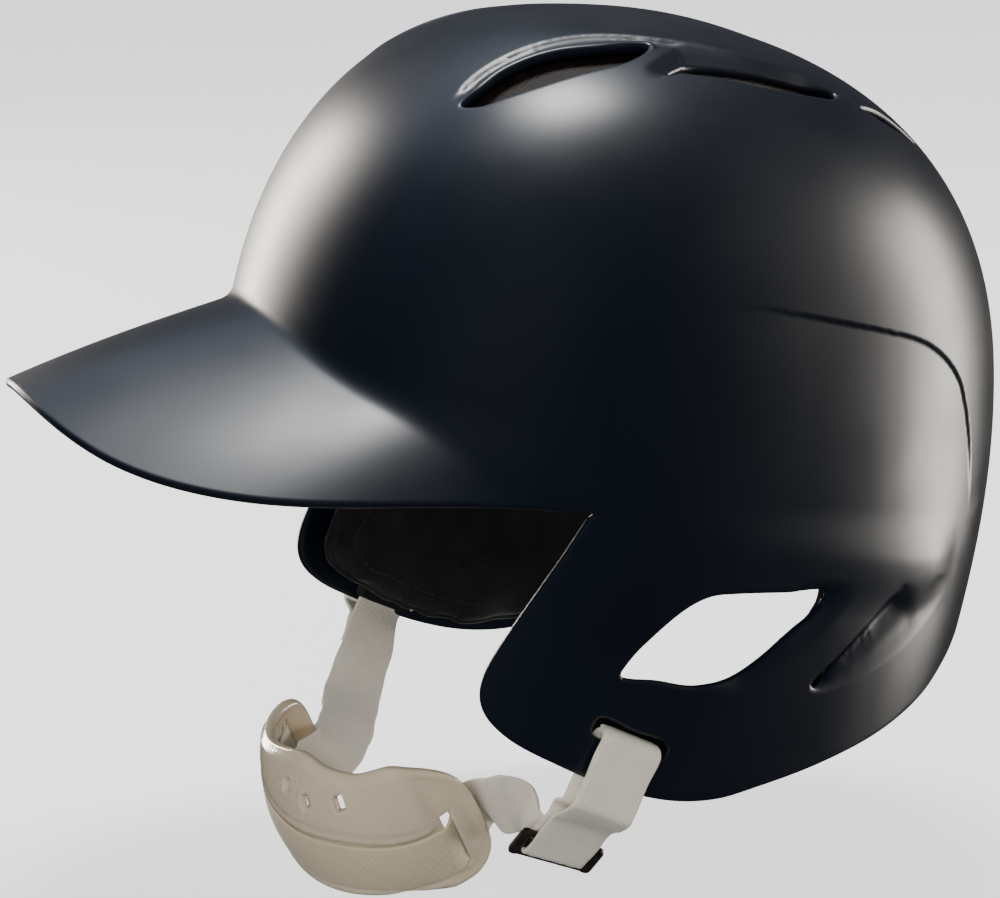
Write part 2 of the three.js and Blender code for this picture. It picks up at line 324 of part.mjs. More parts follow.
// webbing through the cup: from behind the loop, over the arch, in at the near wing, round the outside of the cup and out of the far wing
const cupRow = (a, d) => ({ p: cupAt(a, WEB_H, d), w: CW });
const DW = CUP_T / 2 + 0.6 + WEB_T / 2;
{
  const keys = [{ p: onS(6, 0.5, -LAY - WEB_T - 0.6), w: SD.clone().negate(), h: 7.5 }, { p: onS(0, 0.5, -LAY - WEB_T - 0.6), w: SD.clone().negate(), h: 8 }, { p: onS(-7.5, 0.5, -LAY - WEB_T - 2.6), w: SD.clone().negate(), h: 9 },
    { p: V3(60, -11.5, -214), w: V3(0.6, 0.1, 0.6) }, { p: V3(51, -12.2, -216.5), w: V3(0.45, -0.1, 0.8) }, { p: V3(42, -13.2, -220), w: CW.clone().addScaledVector(V3(1, 0, 0), 0.15) },
    { p: cupAt(91, WEB_H, -DW).addScaledVector(CF, -5), w: CW }, { p: cupAt(91, WEB_H, -DW), w: CW }];
  const rows = rowsAlong(keys.map((k) => ({ ...k, w: k.w.clone().normalize() })), 26);
  for (const [a, d] of [[87, -DW], [81.4, -DW], [78.6, -1.3], [76, 0], [73.4, 1.3], [70.6, DW]]) rows.push(cupRow(a, d));
  for (let a = 60; a >= -60; a -= 8) rows.push(cupRow(a, DW));
  for (const [a, d] of [[-70.6, DW], [-73.4, 1.3], [-76, 0], [-78.6, -1.3], [-81.4, -DW], [-87, -DW]]) rows.push(cupRow(a, d));
  add('cup_webbing', strip(rows, WEB_T), 'web');
}
// right webbing: two layers from the flap sewn into one, down to the far wing of the cup
{
  const m = (n) => flip({ p: at(n, HINGE_D + 1.5), w: ALONG });
  const end = cupAt(-91.5, WEB_H, -DW);
  const keys = [m(N_IN), flip({ p: at(N_IN, HINGE_D + 5.5), w: ALONG }), { p: V3(-96, -11, -210.5), w: V3(0.05, 0.9, -0.42) }, { p: V3(-87, -21, -216), w: V3(0.1, 0.85, -0.5) }, { p: V3(-73, -30, -221), w: V3(0.1, 0.7, -0.65) }, { p: V3(-56, -38.5, -223), w: V3(0.05, 0.55, -0.75) },
    { p: end.clone().addScaledVector(CF, -8).addScaledVector(CX, 0.4), w: CW.clone().negate() }, { p: end, w: CW.clone().negate() }];
  const inner = toSolid(strip([...disc(N_IN).map(flip), ...rowsAlong(keys.map((k) => ({ ...k, w: k.w.clone().normalize() })), 22)], WEB_T));
  const o = [m(N_OUT), flip({ p: at(N_OUT, HINGE_D + 6.5), w: ALONG }), { p: V3(-101.5, -8.2, -210.6), w: V3(0.05, 0.9, -0.42).normalize() }, { p: V3(-95, -13.6, -213.2), w: V3(0.05, 0.88, -0.44).normalize() }, { p: V3(-90.5, -18.1, -215.2), w: V3(0.05, 0.88, -0.44).normalize() }];
  const outer = toSolid(strip([...disc(N_OUT).map(flip), ...rowsAlong(o, 10)], WEB_T));
  add('right_webbing', toGeom(inner.add(outer)), 'web');
}
// hook-and-loop patches that hold the ear-flap pads
for (const [tag, y, z] of [['upper', 20, -133], ['rear', 66, -182]]) {
  for (const sg of [1, -1]) { const a = sg * (tag === 'upper' ? 92 : 110), g = between((u, v) => inset((a + sg * (u * 9 - 4.5)) * D2R, sOf(z + 7 - 14 * v), SHELL_T + 0.35), (u, v) => inset((a + sg * (u * 9 - 4.5)) * D2R, sOf(z + 7 - 14 * v), SHELL_T + PAD_GAP - 0.35), 3, 3); add(`pad_fastener_${sg > 0 ? 'left' : 'right'}_${tag}`, g, 'hook'); }
}
export default group;
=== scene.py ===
import math
import bpy
import numpy as np
from mathutils import Matrix, Vector, kdtree
from mathutils.geometry import delaunay_2d_cdt


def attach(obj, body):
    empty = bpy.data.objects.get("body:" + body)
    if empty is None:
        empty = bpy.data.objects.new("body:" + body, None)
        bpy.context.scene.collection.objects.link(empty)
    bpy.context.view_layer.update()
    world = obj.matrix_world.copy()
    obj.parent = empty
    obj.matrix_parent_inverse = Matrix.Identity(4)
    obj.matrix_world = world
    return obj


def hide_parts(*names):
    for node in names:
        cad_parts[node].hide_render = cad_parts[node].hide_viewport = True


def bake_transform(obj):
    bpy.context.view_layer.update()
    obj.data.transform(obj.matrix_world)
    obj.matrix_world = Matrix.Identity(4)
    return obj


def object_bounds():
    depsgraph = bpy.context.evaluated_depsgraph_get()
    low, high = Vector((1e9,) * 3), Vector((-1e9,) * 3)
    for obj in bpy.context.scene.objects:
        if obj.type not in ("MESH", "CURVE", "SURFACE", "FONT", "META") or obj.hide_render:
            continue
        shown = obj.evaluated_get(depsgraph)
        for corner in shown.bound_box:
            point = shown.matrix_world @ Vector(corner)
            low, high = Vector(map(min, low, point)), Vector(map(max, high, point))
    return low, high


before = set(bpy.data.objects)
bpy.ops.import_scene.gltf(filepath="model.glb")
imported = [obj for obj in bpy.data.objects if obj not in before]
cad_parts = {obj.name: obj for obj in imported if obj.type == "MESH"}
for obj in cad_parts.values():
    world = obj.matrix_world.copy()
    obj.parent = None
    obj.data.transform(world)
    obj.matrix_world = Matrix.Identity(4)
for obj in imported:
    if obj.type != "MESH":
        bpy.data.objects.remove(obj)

CAD_BOX = [list(v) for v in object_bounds()]
MM = 0.001
D2R = math.pi / 180

# ------------------------------------------------------------------ the shell's surface, in millimetres
TOP_Z, WIDE_Z, HALF_W = 24.0, -101.0, 108.0
FRONT_B, REAR_B, YC_WIDE, YC_TOP = 103.13, 145.57, 16.49, 22.04
SHELL_T = 3.2


def table(xs, ys):
    """Cubic through the points with level ends, as a function of an array."""
    xs, ys = np.asarray(xs, float), np.asarray(ys, float)
    n, h = len(xs), np.diff(xs)
    a, b = np.zeros((n, n)), np.zeros(n)
    a[0, 0], a[0, 1], b[0] = 2 * h[0], h[0], 6 * (ys[1] - ys[0]) / h[0]
    a[-1, -1], a[-1, -2], b[-1] = 2 * h[-1], h[-1], -6 * (ys[-1] - ys[-2]) / h[-1]
    for i in range(1, n - 1):
        a[i, i - 1], a[i, i], a[i, i + 1] = h[i - 1], 2 * (h[i - 1] + h[i]), h[i]
        b[i] = 6 * ((ys[i + 1] - ys[i]) / h[i] - (ys[i] - ys[i - 1]) / h[i - 1])
    m = np.linalg.solve(a, b)

    def f(x):
        x = np.clip(np.asarray(x, float), xs[0], xs[-1])
        i = np.clip(np.searchsorted(xs, x) - 1, 0, n - 2)
        t, g = x - xs[i], h[i]
        return (m[i] * (g - t) ** 3 + m[i + 1] * t ** 3) / (6 * g) + (ys[i] / g - m[i] * g / 6) * (g - t) + (ys[i + 1] / g - m[i + 1] * g / 6) * t
    return f


def smooth(x):
    x = np.clip(x, 0, 1)
    return x * x * (3 - 2 * x)


sq_v = table([0, 45, 90, 135, 180], [2.286, 2.549, 2.812, 2.398, 2.09])
tuck = table([0, 60, 100, 140, 180], [0.02, 0.02, 0.03, 0.13, 0.302])
join_z = table([0, 18, 36, 54, 76, 100], [-62.7, -66.4, -75.6, -84.8, -101, -101])
brim_l = table([0, 18, 36, 54, 76, 82], [76.7, 68.3, 45.4, 19.1, 1.0, 0.6])
brim_z = table([0, 18, 36, 54, 76, 82], [-83.7, -95.2, -103.8, -106, -111, -112])


def surf(a, s):
    """Outer surface at plan angle a (degrees from the front, + left) and height share s."""
    a, s = np.broadcast_arrays(np.asarray(a, float), np.asarray(s, float))
    th, ab, sp = np.radians(a), np.abs(a), np.clip(s, 0, 1)
    n, k = sq_v(ab), tuck(ab)
    c = np.where(s >= 0, np.power(np.clip(1 - np.power(sp, n), 0, 1), 1 / n), 1 - k * s * s)
    sn, cs = np.sin(th), np.cos(th)
    nh = 1.967 + 0.45 * smooth(-s / 0.7) * (0.5 + 0.5 * cs) + 0.4 * smooth(-cs)
    r = np.power(np.power(np.abs(sn), nh) + np.power(np.abs(cs), nh), -1 / nh)
    b = FRONT_B + (REAR_B - FRONT_B) * (0.5 - 0.5 * cs)
    yc = YC_WIDE + (YC_TOP - YC_WIDE) * smooth(sp)
    return np.stack([HALF_W * sn * r * c, yc - b * cs * r * c, WIDE_Z + (TOP_Z - WIDE_Z) * s], -1)


def s_of(z):
    return (np.asarray(z, float) - WIDE_Z) / (TOP_Z - WIDE_Z)


def unit(v):
    return v / np.maximum(np.linalg.norm(v, axis=-1, keepdims=True), 1e-12)


def surf_normal(a, s):
    e = 1e-3
    du = surf(a + e * 50, s) - surf(a - e * 50, s)
    dv = surf(a, np.minimum(s + e, 0.9995)) - surf(a, np.minimum(s + e, 0.9995) - 2 * e)
    n = unit(np.cross(du, dv))
    p = surf(a, s) - np.array([0, 20, -110.0])
    return np.where((n * p).sum(-1, keepdims=True) < 0, -n, n)


def nearest_on(p, a, s, xy_only=False):
    """Plan angle and height share of the surface point nearest each p, starting from a and s."""
    a, s = np.array(a, float), np.array(s, float)
    w = np.array([1, 1, 0.0]) if xy_only else np.ones(3)
    for _ in range(30):
        e = 1e-3
        q = surf(a, s)
        ja, js = (surf(a + e, s) - q) / e * w, (surf(a, s + e) - q) / e * w
        r = (p - q) * w
        aa, ab, bb = (ja * ja).sum(-1), (ja * js).sum(-1), (js * js).sum(-1)
        ra, rb = (ja * r).sum(-1), (js * r).sum(-1)
        det = np.maximum(aa * bb - ab * ab, 1e-9)
        da, ds = (bb * ra - ab * rb) / det, (aa * rb - ab * ra) / det
        a = a + np.clip(da, -3, 3)
        s = np.clip(s + np.clip(ds, -0.05, 0.05), -0.95, 0.995)
    return a, s


# ------------------------------------------------------------------ a flat chart of the whole half shell
R0, PH0 = 170.0, 78.4          # chart radius of the joint line, plan angle where the brim ends at the flap
NPHI, NSH = 181, 260
_phi = np.linspace(0, 180, NPHI)
_alpha, _len = np.zeros((NPHI, NSH)), np.zeros(NPHI)
for i, ph in enumerate(_phi):
    n = float(sq_v(ph))
    amax = math.acos(max(0.0, float(s_of(join_z(ph)))) ** (n / 2))
    al = amax * np.linspace(0, 1, 700) ** 1.3
    pts = surf(np.full(700, ph), np.cos(al) ** (2 / n))
    cum = np.concatenate([[0], np.cumsum(np.linalg.norm(np.diff(pts, axis=0), axis=1))])
    _len[i] = cum[-1]
    _alpha[i] = np.interp(np.linspace(0, 1, NSH), cum / cum[-1], al)


def alpha_of(ph, share):
    fi, fj = np.clip(ph, 0, 179.999), np.clip(share, 0, 1) * (NSH - 1)
    i, j = np.floor(fi).astype(int), np.minimum(np.floor(fj).astype(int), NSH - 2)
    u, v = fi - i, fj - j
    return (_alpha[i, j] * (1 - u) + _alpha[i + 1, j] * u) * (1 - v) + (_alpha[i, j + 1] * (1 - u) + _alpha[i + 1, j + 1] * u) * v


def dome(ph, share):
    n = sq_v(ph)
    return surf(ph, np.cos(np.minimum(alpha_of(ph, share), math.pi / 2)) ** (2 / n))


front_of = table([0, 10, 24.7, 46.2, 58.7, 64.9, 110], [78.2, 78.1, 73.4, 65.6, 61.7, 60.8, 60.6])


def shear(a, l):
    """Plan angle on the wall, l below the widest height, to chart angle."""
    f = np.minimum(front_of(l), PH0)
    d = np.where(l < 10, PH0 - f, PH0 - f)
    return a + d * (1 - smooth((a - f) / (130 - f)))


def unshear(ph, l):
    lo, hi = np.minimum(front_of(l), PH0) - 8, np.array(ph, float) + 0.5
    for _ in range(34):
        m = (lo + hi) / 2
        g = shear(m, l) < ph
        lo, hi = np.where(g, m, lo), np.where(g, hi, m)
    return (lo + hi) / 2


def brim_len(ph):
    return np.hypot(brim_l(ph), brim_z(ph) - join_z(ph))


def brim_pt(ph, l):
    z, bl = join_z(ph), brim_l(ph)
    j = surf(ph, s_of(z))
    th = np.radians(ph)
    d = unit(np.stack([np.sin(th) * 0.92, -np.cos(th)], -1))
    t = l / brim_len(ph)
    p = np.array(j)
    p[..., :2] += d * (bl * t)[..., None]
    p[..., 2] = z + (brim_z(ph) - z) * t + 1.8 * 4 * t * (1 - t) * smooth(bl / 40)
    return p


def wall_pt(ph, l):
    a = np.where(ph < PH0, ph, unshear(ph, l))
    return surf(a, s_of(WIDE_Z - l))


def beyond(ph, l):
    w = smooth((ph - 70) / (PH0 - 70))[..., None]
    return np.where(ph[..., None] < PH0, brim_pt(np.minimum(ph, PH0), l) * (1 - w) + wall_pt(ph, l) * w, wall_pt(ph, l))


def raw(ph, rho):
    ph, rho = np.asarray(ph, float), np.asarray(rho, float)
    return np.where((rho <= R0)[..., None], dome(ph, rho / R0), beyond(ph, np.maximum(rho - R0, 0)))


fil = table([0, 30, 50, 66, 78], [4.5, 5.5, 8.0, 12.0, 14.0])


def chart(ph, rho):
    """Point of the outer surface, with the hollow between dome and brim rounded."""
    ph, rho = np.asarray(ph, float), np.asarray(rho, float)
    p, l = raw(ph, rho), rho - R0
    f0 = fil(ph)
    f1 = np.minimum(f0, 0.55 * brim_len(ph))
    on = (ph < 86) & (l > -f0) & (l < f1)
    t = np.where(l < 0, (l / f0 + 1) / 2, (l / np.maximum(f1, 1e-6) + 1) / 2)[..., None]
    a, j, b = raw(ph, R0 - f0), raw(ph, np.full_like(rho, R0)), raw(ph, R0 + f1)
    q = (1 - t) ** 2 * a + 2 * t * (1 - t) * j + t * t * b
    w = (smooth((86 - ph) / 8))[..., None]
    return np.where(on[..., None], q * w + p * (1 - w), p)


def to_chart(a, s):
    """Chart angle and radius of surface points."""
    a, s = np.asarray(a, float), np.asarray(s, float)
    z = WIDE_Z + s * (TOP_Z - WIDE_Z)
    rho = np.zeros_like(a)
    ph = np.array(a)
    for i in range(len(a)):
        if s[i] >= 0:
            al = math.acos(min(1.0, max(0.0, s[i])) ** (float(sq_v(a[i])) / 2))
            k = min(int(a[i]), NPHI - 2)
            u = a[i] - k
            rho[i] = np.interp(al, _alpha[k] * (1 - u) + _alpha[k + 1] * u, np.linspace(0, 1, NSH)) * R0
        else:
            l = WIDE_Z - z[i]
            rho[i], ph[i] = R0 + l, float(shear(a[i], l))
    return ph, rho


def plane(ph, rho):
    t = np.radians(ph)
    return np.stack([rho * np.sin(t), -rho * np.cos(t)], -1)


# ------------------------------------------------------------------ curves on the surface
def spline_through(pts, step, closed=True):
    """Centripetal spline through 3-D points, resampled evenly."""
    p = np.asarray(pts, float)
    n = len(p)
    out = []
    for i in range(n if closed else n - 1):
        if closed:
            q = [p[(i + k - 1) % n] for k in range(4)]
        else:
            q = [p[max(0, i - 1)], p[i], p[i + 1], p[min(n - 1, i + 2)]]
            if i == 0:
                q[0] = 2 * q[1] - q[2]
            if i == n - 2:
                q[3] = 2 * q[2] - q[1]
        t = [0.0]
        for k in range(3):
            t.append(t[-1] + max(1e-4, np.linalg.norm(q[k + 1] - q[k]) ** 0.5))
        u = np.linspace(t[1], t[2], 24, endpoint=False)[:, None]
        a1 = (t[1] - u) / (t[1] - t[0]) * q[0] + (u - t[0]) / (t[1] - t[0]) * q[1]
        a2 = (t[2] - u) / (t[2] - t[1]) * q[1] + (u - t[1]) / (t[2] - t[1]) * q[2]
        a3 = (t[3] - u) / (t[3] - t[2]) * q[2] + (u - t[2]) / (t[3] - t[2]) * q[3]
        b1 = (t[2] - u) / (t[2] - t[0]) * a1 + (u - t[0]) / (t[2] - t[0]) * a2
        b2 = (t[3] - u) / (t[3] - t[1]) * a2 + (u - t[1]) / (t[3] - t[1]) * a3
        out.append((t[2] - u) / (t[2] - t[1]) * b1 + (u - t[1]) / (t[2] - t[1]) * b2)
    out = np.concatenate(out + ([] if closed else [p[-1:]]))
    return resample(out, step, closed)


def resample(p, step, closed=True):
    q = np.vstack([p, p[:1]]) if closed else p
    cum = np.concatenate([[0], np.cumsum(np.linalg.norm(np.diff(q, axis=0), axis=1))])
    m = max(3, int(round(cum[-1] / step)))
    t = np.linspace(0, cum[-1], m + 1)
    r = np.stack([np.interp(t, cum, q[:, k]) for k in range(q.shape[1])], -1)
    return r[:-1] if closed else r


def on_surface(az):
    az = np.asarray(az, float)
    return surf(az[:, 0], s_of(az[:, 1]))


def fit_curve(p, az0):
    """Plan angle and height share along a 3-D curve lying near the surface."""
    az0 = np.asarray(az0, float)
    base = on_surface(az0)
    i = ((p[:, None] - base[None]) ** 2).sum(-1).argmin(1)
    return nearest_on(p, az0[i, 0], s_of(az0[i, 1]))


def offset_curve(p, a, s, d, closed=True):
    """The curve moved sideways on the surface by d, to the right of its direction seen from outside."""
    t = unit(np.roll(p, -1, 0) - np.roll(p, 1, 0)) if closed else unit(np.gradient(p, axis=0))
    b = np.cross(t, surf_normal(a, s))
    q = p + b * np.asarray(d, float).reshape(-1, 1)
    a2, s2 = nearest_on(q, a, s)
    return surf(a2, s2), a2, s2


def clean_loop(p, step, closed=True):
    return resample(p, step, closed)


def ccw(p, a, s):
    """True if the closed curve runs anticlockwise seen from outside."""
    c = p.mean(0)
    n = unit(surf_normal(a, s).mean(0))
    return (np.cross(p - c, np.roll(p, -1, 0) - c) @ n).sum() > 0


def hole_loops(az, grow, step=1.2):
    """Closed loop on the surface from rough (angle, height) points, moved outwards by each distance in grow."""
    p = spline_through(on_surface(az), 0.8)
    a, s = fit_curve(p, az)
    p = surf(a, s)
    if not ccw(p, a, s):
        p, a, s = p[::-1], a[::-1], s[::-1]
    loops = []
    for g in grow:
        q, a2, s2 = offset_curve(p, a, s, g)
        # drop points that fell inside the offset at tight corners
        d = np.sqrt(((q[:, None] - p[None]) ** 2).sum(-1)).min(1)
        keep = d > abs(g) * 0.93 - 0.02
        q, a2, s2 = q[keep], a2[keep], s2[keep]
        r = resample(q, step)
        i = ((r[:, None] - q[None]) ** 2).sum(-1).argmin(1)
        a3, s3 = nearest_on(r, a2[i], s2[i])
        loops.append((surf(a3, s3), a3, s3))
    return loops


EAR = [[83.2, -162.9], [84.74, -158.1], [87.13, -153.2], [92.97, -143.9], [96.66, -140.9], [100.48, -141.0], [108.2, -142.8], [112.6, -144.0], [114.2, -144.9], [114.5, -146.8], [112.98, -150.6],
       [109.84, -155.0], [104.47, -162.7], [100.7, -166.6], [97.67, -168.1], [95.41, -168.4], [93.15, -167.9], [88.69, -165.4], [84.4, -164.0]]
SLIT = [[112.2, -173.6], [116.9, -165.2], [121.7, -157.2], [126.2, -149.9], [126.0, -152.2], [121.9, -159.3], [117.3, -167.4], [113.0, -175.0]]
VENT1 = [[44.12, 4.4], [47.62, 9.2], [51.39, 13.3], [59.56, 17.0], [69.56, 19.0], [83.82, 19.8], [97.0, 19.9], [101.15, 19.3], [95.34, 17.6], [87.21, 15.8], [78.4, 14.3], [65.09, 10.6], [57.57, 7.8], [50.1, 4.7]]
VENT2 = [[99.33, 13.7], [104.5, 15.2], [109.06, 15.6], [118.73, 13.8], [131.94, 8.2], [139.8, 2.2], [136.5, 0.6], [127.16, 3.6], [118.57, 7.2], [111.01, 10.4], [103.0, 12.6]]
VENT3_XY = [[47.5, 103], [42.6, 109], [38.5, 118], [36.2, 128], [40.6, 124], [45.2, 116], [48.2, 108]]
_v3 = np.array(VENT3_XY, float)
_a3, _s3 = nearest_on(np.column_stack([_v3, np.zeros(len(_v3))]), np.degrees(np.arctan2(_v3[:, 0], -(_v3[:, 1] - 22))), np.full(len(_v3), 0.75), xy_only=True)
VENT3 = np.column_stack([_a3, WIDE_Z + _s3 * (TOP_Z - WIDE_Z)])
# strap slot, an upright box in (y, z) brought to the surface
_al, _dn = np.array([0.9, -0.436]), np.array([-0.436, -0.9])
_sl = []
for u, v in [(-12, -3.2), (0, -3.2), (12, -3.2), (12, 1.8), (0, 1.8), (-12, 1.8)]:
    y, z = np.array([5, -184.0]) + _al * u + _dn * v
    aa = np.linspace(60, 115, 500)
    _sl.append([float(np.interp(y, surf(aa, np.full(500, s_of(z)))[:, 1], aa)), float(z)])
SLOT = _sl
FLAP = [[78.28, -112.1], [73.71, -125.7], [69.8, -136.5], [65.99, -147.2], [62.01, -159.7], [61.06, -165.9], [61.2, -170.8], [62.4, -175.5], [65.99, -182.0], [73.81, -190.6], [79.98, -196.7],
        [86.21, -201.7], [92.4, -205.0], [98.59, -205.8], [104.79, -203.9], [114.56, -200.4], [125.51, -195.1], [136.18, -187.4], [142.5, -181.0], [150.0, -174.5], [160.0, -170.3], [170.0, -169.1], [180.0, -169.0]]
STEP = [[97.15, -51.1], [103.3, -53.2], [109.6, -56.7], [115.98, -60.6], [122.6, -65.0], [127.99, -69.0], [131.89, -73.0], [135.05, -78.0], [137.41, -83.0], [139.27, -88.7], [140.82, -97.4], [142.07, -107.7], [142.79, -121.0], [143.2, -132.0]]
CREASE = [[80.0, -106.5], [87.17, -108.4], [94.62, -111.3], [103.7, -114.1], [112.96, -117.3], [122.81, -121.5], [132.29, -125.7], [140.0, -128.5]]
LEAF_LOW = [[112.0, -175.6], [114.88, -176.0], [118.73, -175.1], [122.58, -173.3], [126.3, -170.8], [129.88, -167.4], [133.05, -162.8], [136.06, -158.1], [139.5, -152.5]]
RIDGE = [[125.61, -149.0], [127.85, -147.2], [130.92, -146.7], [135.76, -148.5], [140.43, -149.9], [146.0, -150.5]]
EAR_BEVEL = [[108.44, -138.5], [113.14, -140.4], [117.67, -142.4], [119.35, -144.1], [119.39, -146.6], [118.11, -149.6], [115.26, -156.2], [112.15, -162.1], [108.44, -166.5], [104.92, -169.8], [101.13, -172.4], [96.89, -173.8]]
V1_OUTER = [[40.13, 4.3], [41.94, 11.1], [47.9, 16.4], [60.53, 20.4], [78.23, 21.9], [95.94, 21.7], [108.94, 20.3], [119.03, 18.2], [129.0, 13.4], [140.0, 5.6], [151.0, -4.0]]
V2_FRONT = [[89.21, 14.8], [96.66, 16.7], [108.08, 18.6], [120.63, 17.2], [130.8, 12.2], [141.0, 4.4]]

RIM = 1.2                                # half of the rounded rim, beyond the meshed face


def in_poly(pts, poly):
    x, y = pts[:, 0], pts[:, 1]
    inside = np.zeros(len(pts), bool)
    px, py = poly[:, 0], poly[:, 1]
    qx, qy = np.roll(px, -1), np.roll(py, -1)
    for k in range(len(poly)):
        if py[k] == qy[k]:
            continue
        c = (py[k] > y) != (qy[k] > y)
        inside ^= c & (x < (qx[k] - px[k]) * (y - py[k]) / (qy[k] - py[k]) + px[k])
    return inside


def dense(az, step=0.5, closed=False):
    p = spline_through(on_surface(az), step, closed)
    a, s = fit_curve(p, az)
    p = surf(a, s)
    return p, a, s


def curve_frame(az, closed=False):
    p, a, s = dense(az, 0.5, closed)
    t = unit(np.roll(p, -1, 0) - np.roll(p, 1, 0)) if closed else unit(np.gradient(p, axis=0))
    b = np.cross(t, surf_normal(a, s))
    kd = kdtree.KDTree(len(p))
    for i, q in enumerate(p):
        kd.insert(q, i)
    kd.balance()
    return p, b, kd


def side_of(pts, frame_, reach):
    """Signed distance to the right of the curve, share along it, and whether it is within reach."""
    p, b, kd = frame_
    d, t = np.full(len(pts), reach * 4.0), np.zeros(len(pts))
    for i, q in enumerate(pts):
        r = kd.find(q)
        if r[2] < reach:
            k = r[1]
            v = q - p[k]
            d[i] = math.copysign(r[2], float(v @ b[k]))
            t[i] = k / (len(p) - 1)
    return d, t


def build_half():
    ph_l, rho_l, edges, soft_pts = [], [], [], []

    def add_loop(ph, rho, closed=True):
        k0 = sum(len(x) for x in ph_l)
        ph_l.append(np.asarray(ph, float)); rho_l.append(np.asarray(rho, float))
        n = len(ph)
        for i in range(n if closed else n - 1):
            edges.append((k0 + i, k0 + (i + 1) % n))
        return k0, n
    # outline
    a = np.linspace(0, 76.6, 400)
    p = chart(a, R0 + brim_len(a) - RIM)
    cum = np.concatenate([[0], np.cumsum(np.linalg.norm(np.diff(p, axis=0), axis=1))])
    m = int(cum[-1] / 1.3)
    ba = np.interp(np.linspace(0, cum[-1], m + 1), cum, a)
    br = R0 + brim_len(ba) - RIM
    fp, fa, fs = dense(FLAP, 0.8)
    q, qa, qs = offset_curve(fp, fa, fs, -RIM, closed=False)
    if q[len(q) // 2, 2] < fp[len(q) // 2, 2]:
        q, qa, qs = offset_curve(fp, fa, fs, RIM, closed=False)
    d = np.sqrt(((q[:, None] - fp[None]) ** 2).sum(-1)).min(1)
    keep = (d > RIM * 0.93) & (q[:, 2] < -113.6)
    q, qa, qs = q[keep], qa[keep], qs[keep]
    r = resample(q, 1.3, closed=False)
    i = ((r[:, None] - q[None]) ** 2).sum(-1).argmin(1)
    ra, rs = nearest_on(r, qa[i], qs[i])
    ra[-1] = 180.0
    fph, frho = to_chart(ra, rs)
    fph[-1] = 180.0
    nph = np.array([77.4, 78.3, 79.1, 79.6, 79.9])
    nrho = R0 + np.array([9.25, 9.4, 9.9, 10.8, 11.9])
    seam_r = frho[-1] - np.arange(1, int(frho[-1] / 2.2)) * frho[-1] / int(frho[-1] / 2.2)
    seam_f = np.arange(1, int(br[0] / 2.2)) * br[0] / int(br[0] / 2.2)
    ph = np.concatenate([ba, nph, fph, np.full(len(seam_r), 180.0), [0.0], np.zeros(len(seam_f))])
    rho = np.concatenate([br, nrho, frho, seam_r, [0.0], seam_f])
    add_loop(ph, rho)
    outline = plane(ph, rho)
    holes = []
    near = []
    for g in (0.7, 1.6, 2.8):
        sa = np.interp(np.linspace(0, cum[-1], m + 1), cum, a)
        sr = R0 + brim_len(sa) - RIM - g
        soft_pts.append((sa, sr, chart(sa, sr)))
        q2, q2a, q2s = offset_curve(fp, fa, fs, -(RIM + g), closed=False)
        if q2[len(q2) // 2, 2] < fp[len(q2) // 2, 2]:
            q2, q2a, q2s = offset_curve(fp, fa, fs, RIM + g, closed=False)
        dd = np.sqrt(((q2[:, None] - fp[None]) ** 2).sum(-1)).min(1)
        kk = (dd > (RIM + g) * 0.96) & (q2[:, 2] < -114.5)
        q2, q2a, q2s = q2[kk], q2a[kk], q2s[kk]
        r2 = resample(q2, 1.3, closed=False)
        i2 = ((r2[:, None] - q2[None]) ** 2).sum(-1).argmin(1)
        r2a, r2s = nearest_on(r2, q2a[i2], q2s[i2])
        c2, c3 = to_chart(np.minimum(r2a, 179.9), r2s)
        soft_pts.append((c2, c3, surf(r2a, r2s)))
    for az, offs in ((EAR, (RIM, 2.2, 3.4, 4.8)), (SLIT, (0.5, 1.5, 2.6)), (VENT1, (0.6, 1.5, 2.5, 3.6, 4.8, 6.2)), (VENT2, (0.6, 1.5, 2.5, 3.8, 5.2)), (VENT3, (0.6, 1.6, 2.8)), (SLOT, (RIM, 2.4))):
        loops = hole_loops(az, offs)
        for k, (pp, aa, ss) in enumerate(loops):
            cph, crho = to_chart(aa, ss)
            if k == 0:
                add_loop(cph, crho)
                holes.append(plane(cph, crho))
                near.append(pp)
            else:
                soft_pts.append((cph, crho, pp))
    for az, offs in ((STEP, (-1.4, -0.7, 0.0, 0.7, 1.4)), (CREASE, (-1.5, 0.0, 1.5)), (LEAF_LOW, (-1.2, -0.4, 0.4, 1.2)), (RIDGE, (-1.2, -0.4, 0.4, 1.2)), (EAR_BEVEL, (-0.9, 0.0, 0.9)), (V1_OUTER, (-2.0, -1.0, 0.0, 1.0, 2.0)), (V2_FRONT, (-1.2, 0.0, 1.2))):
        p0, a0, s0 = dense(az, 1.2)
        for g in offs:
            pp, aa, ss = offset_curve(p0, a0, s0, g, closed=False) if g else (p0, a0, s0)
            cph, crho = to_chart(aa, ss)
            soft_pts.append((cph, crho, pp))
    hard_ph, hard_rho = np.concatenate(ph_l), np.concatenate(rho_l)
    hard_p = chart(hard_ph, hard_rho)
    # soft curves: keep what is clear of the borders and of each other
    kept_ph, kept_rho, kept_p = [], [], []
    kd_n = sum(len(x[0]) for x in soft_pts) + len(hard_p)
    pts3 = list(hard_p)
    cell = {}

    def near_any(p, r):
        c = np.floor(p / 1.5).astype(int)
        for dx in (-1, 0, 1):
            for dy in (-1, 0, 1):
                for dz in (-1, 0, 1):
                    for q in cell.get((c[0] + dx, c[1] + dy, c[2] + dz), ()):
                        if (q[0] - p[0]) ** 2 + (q[1] - p[1]) ** 2 + (q[2] - p[2]) ** 2 < r * r:
                            return True
        return False

